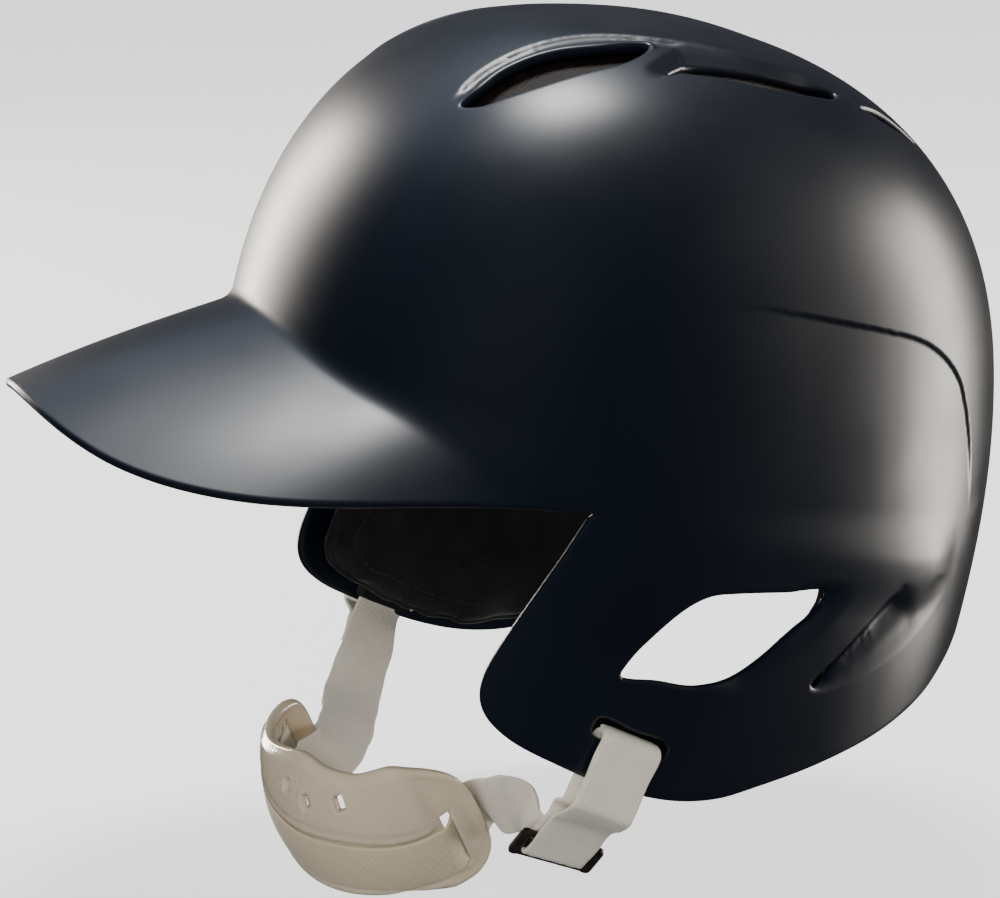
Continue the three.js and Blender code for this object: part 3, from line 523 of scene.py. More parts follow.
    def put(p):
        cell.setdefault(tuple(np.floor(p / 1.5).astype(int)), []).append(p)
    for p in hard_p:
        put(p)
    for cph, crho, pp in soft_pts:
        xy = plane(cph, crho)
        ok = in_poly(xy, outline)
        for h in holes:
            ok &= ~in_poly(xy, h)
        for k in np.nonzero(ok)[0]:
            if not near_any(pp[k], 0.62):
                put(pp[k]); kept_ph.append(cph[k]); kept_rho.append(crho[k])
    # rings
    ring_ph, ring_rho = [], []
    step = 2.2
    rmax = float(max(frho.max(), br.max()))
    nr = int(rmax / step)
    for j in range(1, nr + 1):
        rr = j * step
        lo = 0.0
        fa_ = np.linspace(lo, 180, 361)
        pp = chart(fa_, np.full(361, rr))
        seg = np.linalg.norm(np.diff(pp, axis=0), axis=1)
        seg[seg > 6] = 0.0
        cum = np.concatenate([[0], np.cumsum(seg)])
        m = max(3, int(cum[-1] / (step * 1.05)))
        t = (np.arange(1, m) + (0.25 if j % 2 else -0.25)) / m * cum[-1]
        ring_ph.append(np.interp(t, cum, fa_)); ring_rho.append(np.full(len(t), rr))
    gph, grho = np.concatenate(ring_ph), np.concatenate(ring_rho)
    xy = plane(gph, grho)
    ok = in_poly(xy, outline)
    for h in holes:
        ok &= ~in_poly(xy, h)
    gph, grho = gph[ok], grho[ok]
    gp = chart(gph, grho)
    for k in range(len(gph)):
        if not near_any(gp[k], 1.35):
            kept_ph.append(gph[k]); kept_rho.append(grho[k])
    all_ph = np.concatenate([hard_ph, kept_ph])
    all_rho = np.concatenate([hard_rho, kept_rho])
    xy = plane(all_ph, all_rho)
    res = delaunay_2d_cdt([Vector(v) for v in xy], edges, [], 0, 1e-5)
    vco, _, tris, orig = np.array([tuple(v) for v in res[0]]), res[1], res[2], res[3]
    out_ph, out_rho = np.zeros(len(vco)), np.zeros(len(vco))
    for k, o in enumerate(orig):
        if len(o):
            out_ph[k], out_rho[k] = all_ph[o[0]], all_rho[o[0]]
        else:
            out_rho[k] = math.hypot(*vco[k]); out_ph[k] = math.degrees(math.atan2(vco[k][0], -vco[k][1]))
    tris = np.array([list(t) for t in tris])
    cen = vco[tris].mean(1)
    ok = in_poly(cen, outline)
    for h in holes:
        ok &= ~in_poly(cen, h)
    tris = tris[ok]
    tris = tris[~(np.abs(vco[tris][:, :, 0]) < 1e-6).all(1)]
    used = np.unique(tris)
    remap = -np.ones(len(vco), int)
    remap[used] = np.arange(len(used))
    tris = remap[tris]
    out_ph, out_rho = out_ph[used], out_rho[used]
    pos = chart(out_ph, out_rho)
    seam = (np.abs(plane(out_ph, out_rho)[:, 0]) < 1e-6)
    pos[seam, 0] = 0.0
    return pos, tris, seam


def vertex_normals(p, tris):
    n = np.zeros_like(p)
    fn = np.cross(p[tris[:, 1]] - p[tris[:, 0]], p[tris[:, 2]] - p[tris[:, 0]])
    for k in range(3):
        np.add.at(n, tris[:, k], fn)
    return unit(n)


def boundary_loops(tris):
    """Closed loops of border edges, in the direction of their faces."""
    seen = {}
    for t in tris:
        for k in range(3):
            seen[(t[k], t[(k + 1) % 3])] = True
    nxt = {a: b for (a, b) in seen if (b, a) not in seen}
    loops = []
    while nxt:
        a0, b = nxt.popitem()
        loop = [a0]
        while b != a0:
            loop.append(b)
            b = nxt.pop(b)
        loops.append(loop)
    return loops


def make_mesh(name, verts_mm, faces, mat, smooth_shade=True):
    me = bpy.data.meshes.new(name)
    me.from_pydata((np.asarray(verts_mm, float) * MM).tolist(), [], [list(map(int, f)) for f in faces])
    me.validate()
    if smooth_shade:
        me.polygons.foreach_set("use_smooth", [True] * len(me.polygons))
    me.update()
    ob = bpy.data.objects.new(name, me)
    bpy.context.scene.collection.objects.link(ob)
    if mat:
        me.materials.append(mat)
    return ob


def nearest_dist(pts, targets):
    kd = kdtree.KDTree(len(targets))
    for i, q in enumerate(targets):
        kd.insert(q, i)
    kd.balance()
    return np.array([kd.find(q)[2] for q in pts])


def border_of(az, step=0.5):
    return hole_loops(az, (0.0,), step)[0][0]


def between_share(pts, curve, targets, reach, side=1.0, slack=1.5):
    """For points between a curve and an opening: distance from the curve, distance to the opening,
    share along the curve, and 1 inside the band, fading to 0 past the opening."""
    fr = curve_frame(curve)
    sd, t = side_of(pts, fr, reach)
    sd = sd * side
    gap = nearest_dist(fr[0], targets)
    do = nearest_dist(pts, targets)
    g = np.interp(t, np.linspace(0, 1, len(gap)), gap)
    ok = (np.abs(sd) < reach) & (sd > -1.2)
    m = np.where(ok, 1 - smooth((np.maximum(sd, 0) + do - g - slack) / 3), 0.0)
    return sd, do, t, m


def relief(p):
    """How far each point of the outer surface stands out from the plain form, in millimetres."""
    d = np.zeros(len(p))
    side = (p[:, 1] > 0)
    idx = np.nonzero(side & (p[:, 2] < -35) & (p[:, 2] > -150))[0]
    # stepped-in panel at the side
    sd, t = side_of(p[idx], curve_frame(STEP), 60)
    ins = sd if STEP_SIGN > 0 else -sd
    fade = smooth(t / 0.30) * smooth((1.02 - t) / 0.22)
    d[idx] += np.where(np.abs(sd) < 60, -0.85 * fade * smooth((ins + 0.7) / 1.4) * (1 - smooth((ins - 6) / 48)), 0)
    # the wall flares out below the level crease
    idx = np.nonzero(side & (p[:, 2] < -100) & (p[:, 2] > -160))[0]
    sd, t = side_of(p[idx], curve_frame(CREASE), 45)
    below = sd if CREASE_SIGN > 0 else -sd
    fade = smooth((t - 0.15) / 0.4) * smooth((1.04 - t) / 0.16)
    prof = np.where(below > 0, 1.7 * smooth(below / 15) * (1 - smooth((below - 14) / 20)), 0)
    d[idx] += np.where(np.abs(sd) < 45, fade * prof, 0)
    # recesses above the crown vents: a valley with a raised lip at the first, a sloping wall at the others
    idx = np.nonzero(p[:, 2] > -12)[0]
    q = p[idx]
    b1, b2, b3 = border_of(VENT1), border_of(VENT2), border_of(VENT3)
    sd, do, t, m = between_share(q, V1_OUTER, np.vstack([b1, b2, b3]), 26)
    ends = smooth(t / 0.06) * smooth((1 - t) / 0.10)
    d1, d2 = nearest_dist(q, b1), nearest_dist(q, np.vstack([b2, b3]))
    w2 = smooth((d1 - d2 + 4) / 8)
    valley = -1.5 * smooth((sd + 0.3) / 2.6) * smooth((do - 1.2) / 2.4)
    lip = 0.45 * (1 - smooth((do - 1.0) / 1.6))
    d[idx] += ends * m * ((valley + lip) * (1 - w2) - 0.7 * smooth((sd + 0.3) / 2.4) * w2)
    sd, do, t, m = between_share(q, V2_FRONT, np.vstack([b2]), 22)
    ends = smooth(t / 0.12) * smooth((1 - t) / 0.12)
    d[idx] += -2.3 * ends * m * smooth(np.maximum(sd, 0) / (np.maximum(sd, 0) + do + 0.6)) * w2
    # bevel behind the ear opening
    idx = np.nonzero(side & (p[:, 2] < -130) & (p[:, 2] > -180) & (p[:, 0] > 60))[0]
    q = p[idx]
    sd, do, t, m = between_share(q, EAR_BEVEL, border_of(EAR), 16)
    ends = smooth(t / 0.15) * smooth((1 - t) / 0.15)
    sp = np.maximum(sd, 0)
    d[idx] += -1.7 * ends * m * smooth(sp / (sp + do + 0.3) * 1.1)
    # scooped leaf under the side slit
    idx = np.nonzero(side & (p[:, 2] < -138) & (p[:, 2] > -186) & (p[:, 0] > 40))[0]
    q = p[idx]
    slit = border_of(SLIT)
    rp, rb, rk = curve_frame(RIDGE)
    sd, do, t, m = between_share(q, LEAF_LOW, np.vstack([slit, rp]), 26, side=-1.0, slack=0.2)
    m = np.where(do < 0.9, np.maximum(m, 0), m)
    sp = np.maximum(sd, 0)
    share = sp / (sp + do + 0.25)
    ends = smooth(t / 0.10) * smooth((1 - t) / 0.35)
    sr, _ = side_of(q, (rp, rb, rk), 6)
    above = np.where(np.abs(sr) < 6, smooth((sr + 0.5) / 1.1), 1.0)
    d[idx] += -2.5 * ends * m * above * (0.30 * smooth(share / 0.4) + 0.70 * smooth((share - 0.42) / 0.5))
    return d


STEP_SIGN, CREASE_SIGN = 1, 1


def solid_sheet(name, mid, tris, nrm, up, down, rim, mat, ks=6):
    """Closed solid from a sheet: up and down are how far its two faces stand from it; its borders are half round."""
    nn = len(mid)
    up, down = np.broadcast_to(np.asarray(up, float), nn), np.broadcast_to(np.asarray(down, float), nn)
    top, low = mid + nrm * up[:, None], mid - nrm * down[:, None]
    verts, faces, count = [top, low], [tuple(t) for t in tris] + [(t[2] + nn, t[1] + nn, t[0] + nn) for t in tris], 2 * nn
    for loop in boundary_loops(tris):
        lp = np.array(loop)
        p, q, nm = top[lp], low[lp], nrm[lp]
        t = unit(np.roll(mid[lp], -1, 0) - np.roll(mid[lp], 1, 0))
        b = unit(np.cross(t, nm))
        half, c0, prev = np.linalg.norm(p - q, axis=1, keepdims=True) / 2, (p + q) / 2, lp
        for k in range(1, ks):
            ang = math.pi * k / ks
            verts.append(c0 + nm * half * math.cos(ang) + b * rim * math.sin(ang))
            cur = count + np.arange(len(lp))
            count += len(lp)
            for i in range(len(lp)):
                j = (i + 1) % len(lp)
                faces.append((prev[i], cur[i], cur[j], prev[j]))
            prev = cur
        for i in range(len(lp)):
            j = (i + 1) % len(lp)
            faces.append((prev[i], lp[i] + nn, lp[j] + nn, prev[j]))
    return make_mesh(name, np.vstack(verts), faces, mat)


def flat_mesh(outline, holes, step):
    """Points and triangles of a flat region with holes, about evenly spaced."""
    pts, edges = [], []
    for lp in [outline] + list(holes):
        k0 = len(pts)
        pts += [tuple(q) for q in lp]
        edges += [(k0 + i, k0 + (i + 1) % len(lp)) for i in range(len(lp))]
    border = np.array(pts)
    lo, hi = border.min(0), border.max(0)
    g = []
    for j, y in enumerate(np.arange(lo[1], hi[1], step * 0.87)):
        g += [(x + (step / 2 if j % 2 else 0), y) for x in np.arange(lo[0], hi[0], step)]
    g = np.array(g)
    ok = in_poly(g, outline)
    for h in holes:
        ok &= ~in_poly(g, h)
    g = g[ok]
    g = g[nearest_dist(np.column_stack([g, np.zeros(len(g))]), np.column_stack([border, np.zeros(len(border))])) > step * 0.55]
    allp = np.vstack([border, g])
    res = delaunay_2d_cdt([Vector(v) for v in allp], edges, [], 0, 1e-6)
    v = np.array([tuple(x) for x in res[0]])
    tr = np.array([list(t) for t in res[2]])
    c = v[tr].mean(1)
    ok = in_poly(c, outline)
    for h in holes:
        ok &= ~in_poly(c, h)
    tr = tr[ok]
    used = np.unique(tr)
    m = -np.ones(len(v), int)
    m[used] = np.arange(len(used))
    return v[used], m[tr]


def shell_piece(mat):
    pos, tris, seam = build_half()
    # faces must look outwards
    fn = np.cross(pos[tris[:, 1]] - pos[tris[:, 0]], pos[tris[:, 2]] - pos[tris[:, 0]])
    c = pos[tris].mean(1) - np.array([0, 20, -130.0])
    if (fn * c).sum() < 0:
        tris = tris[:, ::-1]
    n = len(pos)
    # mirrored half, sharing the middle line
    mid = np.full(n, -1)
    mid[seam] = np.nonzero(seam)[0]
    other = np.where(seam, mid, 0)
    free = np.nonzero(~seam)[0]
    other[free] = n + np.arange(len(free))
    mirror_pos = pos[free] * np.array([-1, 1, 1.0])
    nrm = vertex_normals(np.vstack([pos, mirror_pos]), np.vstack([tris, other[tris][:, ::-1]]))[:n]
    pos = pos + nrm * relief(pos)[:, None]
    pos[seam, 0] = 0
    full = np.vstack([pos, pos[free] * np.array([-1, 1, 1.0])])
    ftris = np.vstack([tris, other[tris][:, ::-1]])
    nrm = vertex_normals(full, ftris)
    nn = len(full)
    inner = full - nrm * SHELL_T
    verts = [full, inner]
    faces = [tuple(t) for t in ftris] + [(t[2] + nn, t[1] + nn, t[0] + nn) for t in ftris]
    count = 2 * nn
    for loop in boundary_loops(ftris):
        lp = np.array(loop)
        p, q, nm = full[lp], inner[lp], nrm[lp]
        t = unit(np.roll(p, -1, 0) - np.roll(p, 1, 0))
        b = unit(np.cross(t, nm))
        half = SHELL_T / 2
        c0 = (p + q) / 2
        prev = lp
        ks = 6
        for k in range(1, ks):
            ang = math.pi * k / ks
            ring = c0 + nm * (half * math.cos(ang)) + b * (RIM * 0.95 * math.sin(ang))
            verts.append(ring)
            cur = count + np.arange(len(lp))
            count += len(lp)
            for i in range(len(lp)):
                j = (i + 1) % len(lp)
                faces.append((prev[i], cur[i], cur[j], prev[j]))
            prev = cur
        last = lp + nn
        for i in range(len(lp)):
            j = (i + 1) % len(lp)
            faces.append((prev[i], last[i], last[j], prev[j]))
    ob = make_mesh("helmet_shell", np.vstack(verts), faces, mat)
    return ob


# ------------------------------------------------------------------ materials
def nodes_of(name):
    m = bpy.data.materials.new(name)
    m.use_nodes = True
    nt = m.node_tree
    return m, nt, nt.nodes["Principled BSDF"]


def link(nt, a, b):
    nt.links.new(a, b)


def noise(nt, scale, detail=3.0, rough=0.5, coord=None, dims="3D"):
    n = nt.nodes.new("ShaderNodeTexNoise")
    n.inputs["Scale"].default_value = scale
    n.inputs["Detail"].default_value = detail
    n.inputs["Roughness"].default_value = rough
    link(nt, coord, n.inputs["Vector"])
    return n


def coords(nt):
    return nt.nodes.new("ShaderNodeTexCoord").outputs["Object"]


def ramp(nt, src, stops):
    r = nt.nodes.new("ShaderNodeValToRGB")
    e = r.color_ramp.elements
    e[0].position, e[0].color = stops[0][0], (*stops[0][1], 1)
    e[1].position, e[1].color = stops[-1][0], (*stops[-1][1], 1)
    for p, c in stops[1:-1]:
        x = e.new(p)
        x.color = (*c, 1)
    link(nt, src, r.inputs["Fac"])
    return r.outputs["Color"]


def span(nt, src, lo, hi, a=0.0, b=1.0):
    r = nt.nodes.new("ShaderNodeMapRange")
    for k, v in (("From Min", a), ("From Max", b), ("To Min", lo), ("To Max", hi)):
        r.inputs[k].default_value = v
    link(nt, src, r.inputs["Value"])
    return r.outputs["Result"]


def bump(nt, src, strength, dist, before=None):
    b = nt.nodes.new("ShaderNodeBump")
    b.inputs["Strength"].default_value = strength
    b.inputs["Distance"].default_value = dist
    link(nt, src, b.inputs["Height"])
    if before is not None:
        link(nt, before, b.inputs["Normal"])
    return b.outputs["Normal"]


def shell_material():
    m, nt, p = nodes_of("navy_shell")
    c = coords(nt)
    big = noise(nt, 9, 2, 0.5, c)
    link(nt, ramp(nt, big.outputs["Fac"], [(0.35, (0.0030, 0.0050, 0.0105)), (0.65, (0.0038, 0.0064, 0.0135))]), p.inputs["Base Color"])
    fine = noise(nt, 900, 3, 0.6, c)
    mid = noise(nt, 38, 4, 0.6, c)
    link(nt, span(nt, mid.outputs["Fac"], 0.37, 0.44, 0.3, 0.7), p.inputs["Roughness"])
    link(nt, bump(nt, fine.outputs["Fac"], 0.06, 0.00008), p.inputs["Normal"])
    p.inputs["IOR"].default_value = 1.52
    p.inputs["Coat Weight"].default_value = 0.45
    p.inputs["Coat Roughness"].default_value = 0.3
    return m


def leather_material(name="pad_leather"):
    m, nt, p = nodes_of(name)
    c = coords(nt)
    v = nt.nodes.new("ShaderNodeTexVoronoi")
    v.inputs["Scale"].default_value = 750
    link(nt, c, v.inputs["Vector"])
    w = noise(nt, 120, 4, 0.6, c)
    link(nt, ramp(nt, w.outputs["Fac"], [(0.3, (0.006, 0.006, 0.0065)), (0.7, (0.013, 0.013, 0.014))]), p.inputs["Base Color"])
    link(nt, span(nt, w.outputs["Fac"], 0.42, 0.62, 0.3, 0.7), p.inputs["Roughness"])
    n1 = bump(nt, v.outputs["Distance"], 0.5, 0.00025)
    link(nt, bump(nt, w.outputs["Fac"], 0.35, 0.0008, n1), p.inputs["Normal"])
    p.inputs["Sheen Weight"].default_value = 0.25
    p.inputs["Sheen Roughness"].default_value = 0.45
    return m


def webbing_material(name="ivory_webbing", tint=(1, 1, 1)):
    m, nt, p = nodes_of(name)
    c = coords(nt)
    w = noise(nt, 1400, 3, 0.7, c)
    s = noise(nt, 45, 3, 0.5, c)
    mix = nt.nodes.new("ShaderNodeMath"); mix.operation = "ADD"
    link(nt, span(nt, w.outputs["Fac"], 0.0, 0.45, 0.25, 0.75), mix.inputs[0])
    link(nt, span(nt, s.outputs["Fac"], 0.15, 0.45, 0.3, 0.7), mix.inputs[1])
    link(nt, ramp(nt, mix.outputs[0], [(0.1, tuple(np.multiply((0.60, 0.54, 0.44), tint))), (0.45, tuple(np.multiply((0.74, 0.69, 0.59), tint))), (0.85, tuple(np.multiply((0.82, 0.78, 0.69), tint)))]), p.inputs["Base Color"])
    p.inputs["Roughness"].default_value = 0.8
    v = nt.nodes.new("ShaderNodeTexVoronoi")
    v.inputs["Scale"].default_value = 1500
    link(nt, c, v.inputs["Vector"])
    link(nt, bump(nt, v.outputs["Distance"], 0.45, 0.00018), p.inputs["Normal"])
    p.inputs["Sheen Weight"].default_value = 0.35
    p.inputs["Sheen Roughness"].default_value = 0.5
    p.inputs["Specular IOR Level"].default_value = 0.25
    return m


def thread_material(name="cream_thread", dark=(0.60, 0.53, 0.42), light=(0.80, 0.74, 0.63)):
    m, nt, p = nodes_of(name)
    c = coords(nt)
    w = noise(nt, 2600, 2, 0.6, c)
    link(nt, ramp(nt, w.outputs["Fac"], [(0.3, dark), (0.7, light)]), p.inputs["Base Color"])
    link(nt, bump(nt, w.outputs["Fac"], 0.4, 0.0001), p.inputs["Normal"])
    p.inputs["Roughness"].default_value = 0.6
    return m


def cup_material():
    m, nt, p = nodes_of("beige_cup")
    c = coords(nt)
    w = noise(nt, 14, 3, 0.5, c)
    link(nt, ramp(nt, w.outputs["Fac"], [(0.3, (0.60, 0.52, 0.385)), (0.7, (0.70, 0.62, 0.485))]), p.inputs["Base Color"])
    f = noise(nt, 60, 3, 0.5, c)
    link(nt, span(nt, f.outputs["Fac"], 0.2, 0.3, 0.3, 0.7), p.inputs["Roughness"])
    g = noise(nt, 500, 2, 0.5, c)
    link(nt, bump(nt, g.outputs["Fac"], 0.05, 0.0001), p.inputs["Normal"])
    p.inputs["Subsurface Weight"].default_value = 0.35
    p.inputs["Subsurface Radius"].default_value = (0.006, 0.0045, 0.003)
    p.inputs["Subsurface Scale"].default_value = 1.0
    p.inputs["Coat Weight"].default_value = 0.6
    p.inputs["Coat Roughness"].default_value = 0.1
    return m


def bronze_material():
    m, nt, p = nodes_of("bronze_enamel")
    c = coords(nt)
    w = noise(nt, 240, 4, 0.6, c)
    link(nt, ramp(nt, w.outputs["Fac"], [(0.3, (0.022, 0.018, 0.015)), (0.7, (0.060, 0.050, 0.043))]), p.inputs["Base Color"])
    link(nt, span(nt, w.outputs["Fac"], 0.28, 0.42, 0.3, 0.7), p.inputs["Roughness"])
    link(nt, bump(nt, w.outputs["Fac"], 0.15, 0.0001), p.inputs["Normal"])
    p.inputs["Metallic"].default_value = 0.6
    return m


def plastic_material():
    m, nt, p = nodes_of("black_plastic")
    c = coords(nt)
    w = noise(nt, 320, 3, 0.6, c)
    link(nt, ramp(nt, w.outputs["Fac"], [(0.3, (0.007, 0.007, 0.008)), (0.7, (0.014, 0.014, 0.015))]), p.inputs["Base Color"])
    link(nt, span(nt, w.outputs["Fac"], 0.32, 0.45, 0.3, 0.7), p.inputs["Roughness"])
    link(nt, bump(nt, w.outputs["Fac"], 0.12, 0.0001), p.inputs["Normal"])
    return m


def mesh_material():
    m, nt, p = nodes_of("vent_mesh_cloth")
    c = coords(nt)
    w = noise(nt, 700, 3, 0.6, c)
    link(nt, ramp(nt, w.outputs["Fac"], [(0.35, (0.004, 0.003, 0.003)), (0.7, (0.018, 0.012, 0.009))]), p.inputs["Base Color"])
    p.inputs["Roughness"].default_value = 0.75
    link(nt, bump(nt, w.outputs["Fac"], 0.3, 0.0002), p.inputs["Normal"])
    return m


def hook_material():
    m, nt, p = nodes_of("hook_tape")
    c = coords(nt)
    v = nt.nodes.new("ShaderNodeTexVoronoi")
    v.inputs["Scale"].default_value = 900
    link(nt, c, v.inputs["Vector"])
    link(nt, ramp(nt, v.outputs["Distance"], [(0.1, (0.03, 0.03, 0.03)), (0.6, (0.006, 0.006, 0.006))]), p.inputs["Base Color"])
    link(nt, bump(nt, v.outputs["Distance"], 0.8, 0.0006), p.inputs["Normal"])
    p.inputs["Roughness"].default_value = 0.9
    return m


def floor_material():
    m, nt, p = nodes_of("pale_floor")
    c = coords(nt)
    w = noise(nt, 3, 2, 0.5, c)
    link(nt, ramp(nt, w.outputs["Fac"], [(0.3, (0.58, 0.58, 0.58)), (0.7, (0.60, 0.60, 0.60))]), p.inputs["Base Color"])
    p.inputs["Emission Color"].default_value = (1, 1, 1, 1)
    p.inputs["Emission Strength"].default_value = 1.4
    p.inputs["Roughness"].default_value = 0.9
    return m


M_SHELL, M_PAD, M_WEB, M_THREAD = shell_material(), leather_material(), webbing_material(), thread_material()
M_CUP, M_METAL, M_MESH, M_HOOK, M_PLASTIC = cup_material(), bronze_material(), mesh_material(), hook_material(), plastic_material()


def dress(node, mat):
    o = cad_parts[node]
    o.data.materials.clear()
    o.data.materials.append(mat)
    return o


# ------------------------------------------------------------------ the shell
shell = shell_piece(M_SHELL)
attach(shell, "helmet")
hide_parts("shell")


# ------------------------------------------------------------------ webbing
def v3(*v):
    return np.array(v, float)


def nrm(v):
    return v / np.linalg.norm(v)


S_MID = v3(106.4, 5, -184)
ALONG, DOWN, OUTW = nrm(v3(0, 0.9, -0.436)), nrm(v3(0, -0.436, -0.9)), v3(1, 0, 0)
N_OUT, N_IN, HINGE_D, LAY, WEB_T = 2.2, -5.6, 17.0, 2.15, 1.5


def at(n, d, a=0.0):
    return S_MID + OUTW * n + DOWN * d + ALONG * a


SL = v3(78, -8.5, -225.7)
HIN = at((N_OUT + N_IN) / 2, HINGE_D)
SD = nrm(SL - HIN)
SA = nrm(ALONG - SD * (ALONG @ SD))
SN = nrm(np.cross(SA, SD))
SN = SN if SN[0] > 0 else -SN


def on_s(a, d, n):
    return SL + SA * a + SD * d + SN * n


CUP_R, CUP_T, CUP_HALF, CUP_RAISE = 39.2, 2.2, 91.0, 2.27
CUP_MID, CUP_YAW, CUP_PITCH, CUP_ROLL = v3(-0.78, -35.7, -220.7), 19.9 * D2R, 33.7 * D2R, -12.2 * D2R
_cy, _sy, _cp, _sp = math.cos(CUP_YAW), math.sin(CUP_YAW), math.cos(CUP_PITCH), math.sin(CUP_PITCH)
CX0, CF = v3(_cy, _sy, 0), v3(_sy * _cp, -_cy * _cp, -_sp)
CW0 = np.cross(CF, CX0)
CW0 = CW0 if CW0[2] > 0 else -CW0
CX = CX0 * math.cos(CUP_ROLL) + CW0 * math.sin(CUP_ROLL)
CW = -CX0 * math.sin(CUP_ROLL) + CW0 * math.cos(CUP_ROLL)
CO = CUP_MID - CF * CUP_R * math.cos(CUP_HALF * D2R)
DW, WEB_H = CUP_T / 2 + 0.6 + WEB_T / 2, 1.0


def cup_dir(a):
    a = np.asarray(a, float)[..., None] * D2R
    return CX * np.sin(a) + CF * np.cos(a)


def cup_at(a, h, d):
    a, h, d = np.broadcast_arrays(np.asarray(a, float), np.asarray(h, float), np.asarray(d, float))
    k = np.where(h >= 0, 0.0128, 0.0057) * h * h * (1 - 0.55 * smooth((np.abs(a) - 30) / 55))
    return CO + cup_dir(a) * (CUP_R + d - k)[..., None] + CW * (h + CUP_RAISE)[..., None]


def along(keys, sub=40):
    """Rows (centre, width direction, half width) finely spaced along a smooth curve through the keys."""
    p = [np.asarray(k[0], float) for k in keys]
    n = len(p)
    w = [nrm(np.asarray(k[1], float)) for k in keys]
    h = [k[2] if len(k) > 2 else 10.0 for k in keys]
    rows = []
    for i in range(n - 1):
        q = [p[i - 1] if i else 2 * p[0] - p[1], p[i], p[i + 1], p[i + 2] if i < n - 2 else 2 * p[n - 1] - p[n - 2]]
        t = [0.0]
        for k in range(3):
            t.append(t[-1] + max(1e-3, np.linalg.norm(q[k + 1] - q[k]) ** 0.5))
        for k in range(sub):
            f = k / sub
            u = t[1] + (t[2] - t[1]) * f
            a1 = (t[1] - u) / (t[1] - t[0]) * q[0] + (u - t[0]) / (t[1] - t[0]) * q[1]
            a2 = (t[2] - u) / (t[2] - t[1]) * q[1] + (u - t[1]) / (t[2] - t[1]) * q[2]
            a3 = (t[3] - u) / (t[3] - t[2]) * q[2] + (u - t[2]) / (t[3] - t[2]) * q[3]
            b1 = (t[2] - u) / (t[2] - t[0]) * a1 + (u - t[0]) / (t[2] - t[0]) * a2
            b2 = (t[3] - u) / (t[3] - t[1]) * a2 + (u - t[1]) / (t[3] - t[1]) * a3
            g = f * f * (3 - 2 * f)
            rows.append((((t[2] - u) * b1 + (u - t[1]) * b2) / (t[2] - t[1]), w[i] * (1 - g) + w[i + 1] * g, h[i] * (1 - g) + h[i + 1] * g))
    rows.append((p[-1], w[-1], h[-1]))
    return rows


def flip_rows(rows):
    m = v3(-1, 1, 1)
    return [(r[0] * m, r[1] * m) + tuple(r[2:]) for r in rows]


def even_rows(rows, step=0.34):
    c = np.array([r[0] for r in rows])
    w = np.array([r[1] for r in rows])
    h = np.array([r[2] if len(r) > 2 else 10.0 for r in rows])
    cum = np.concatenate([[0], np.cumsum(np.linalg.norm(np.diff(c, axis=0), axis=1))])
    keep = np.concatenate([[True], np.diff(cum) > 1e-6])
    c, w, h, cum = c[keep], w[keep], h[keep], cum[keep]
    s = np.linspace(0, cum[-1], int(cum[-1] / step) + 1)
    c = np.stack([np.interp(s, cum, c[:, k]) for k in range(3)], -1)
    w = unit(np.stack([np.interp(s, cum, w[:, k]) for k in range(3)], -1))
    h = np.interp(s, cum, h)
    for _ in range(6):
        c[1:-1] = c[1:-1] * 0.5 + (c[:-2] + c[2:]) * 0.25
        w[1:-1] = w[1:-1] * 0.5 + (w[:-2] + w[2:]) * 0.25
    t = unit(np.gradient(c, axis=0))
    w = unit(w - t * (w * t).sum(-1, keepdims=True))
    n = unit(np.cross(w, t))
    return c, w, n, t, h, s


SECT = [(-1.0, 0.0, 0.0), (-0.995, 0.35, 0.0), (-0.975, 0.72, 0.0), (-0.94, 0.95, 0.0)] + [(u, 1.0, g) for u, g in
        ((-0.88, 0.25), (-0.80, 0.8), (-0.66, 1), (-0.5, 1), (-0.33, 1), (-0.16, 1), (0, 1), (0.16, 1), (0.33, 1), (0.5, 1), (0.66, 1), (0.80, 0.8), (0.88, 0.25))] + [(0.94, 0.95, 0.0), (0.975, 0.72, 0.0), (0.995, 0.35, 0.0), (1.0, 0.0, 0.0)]


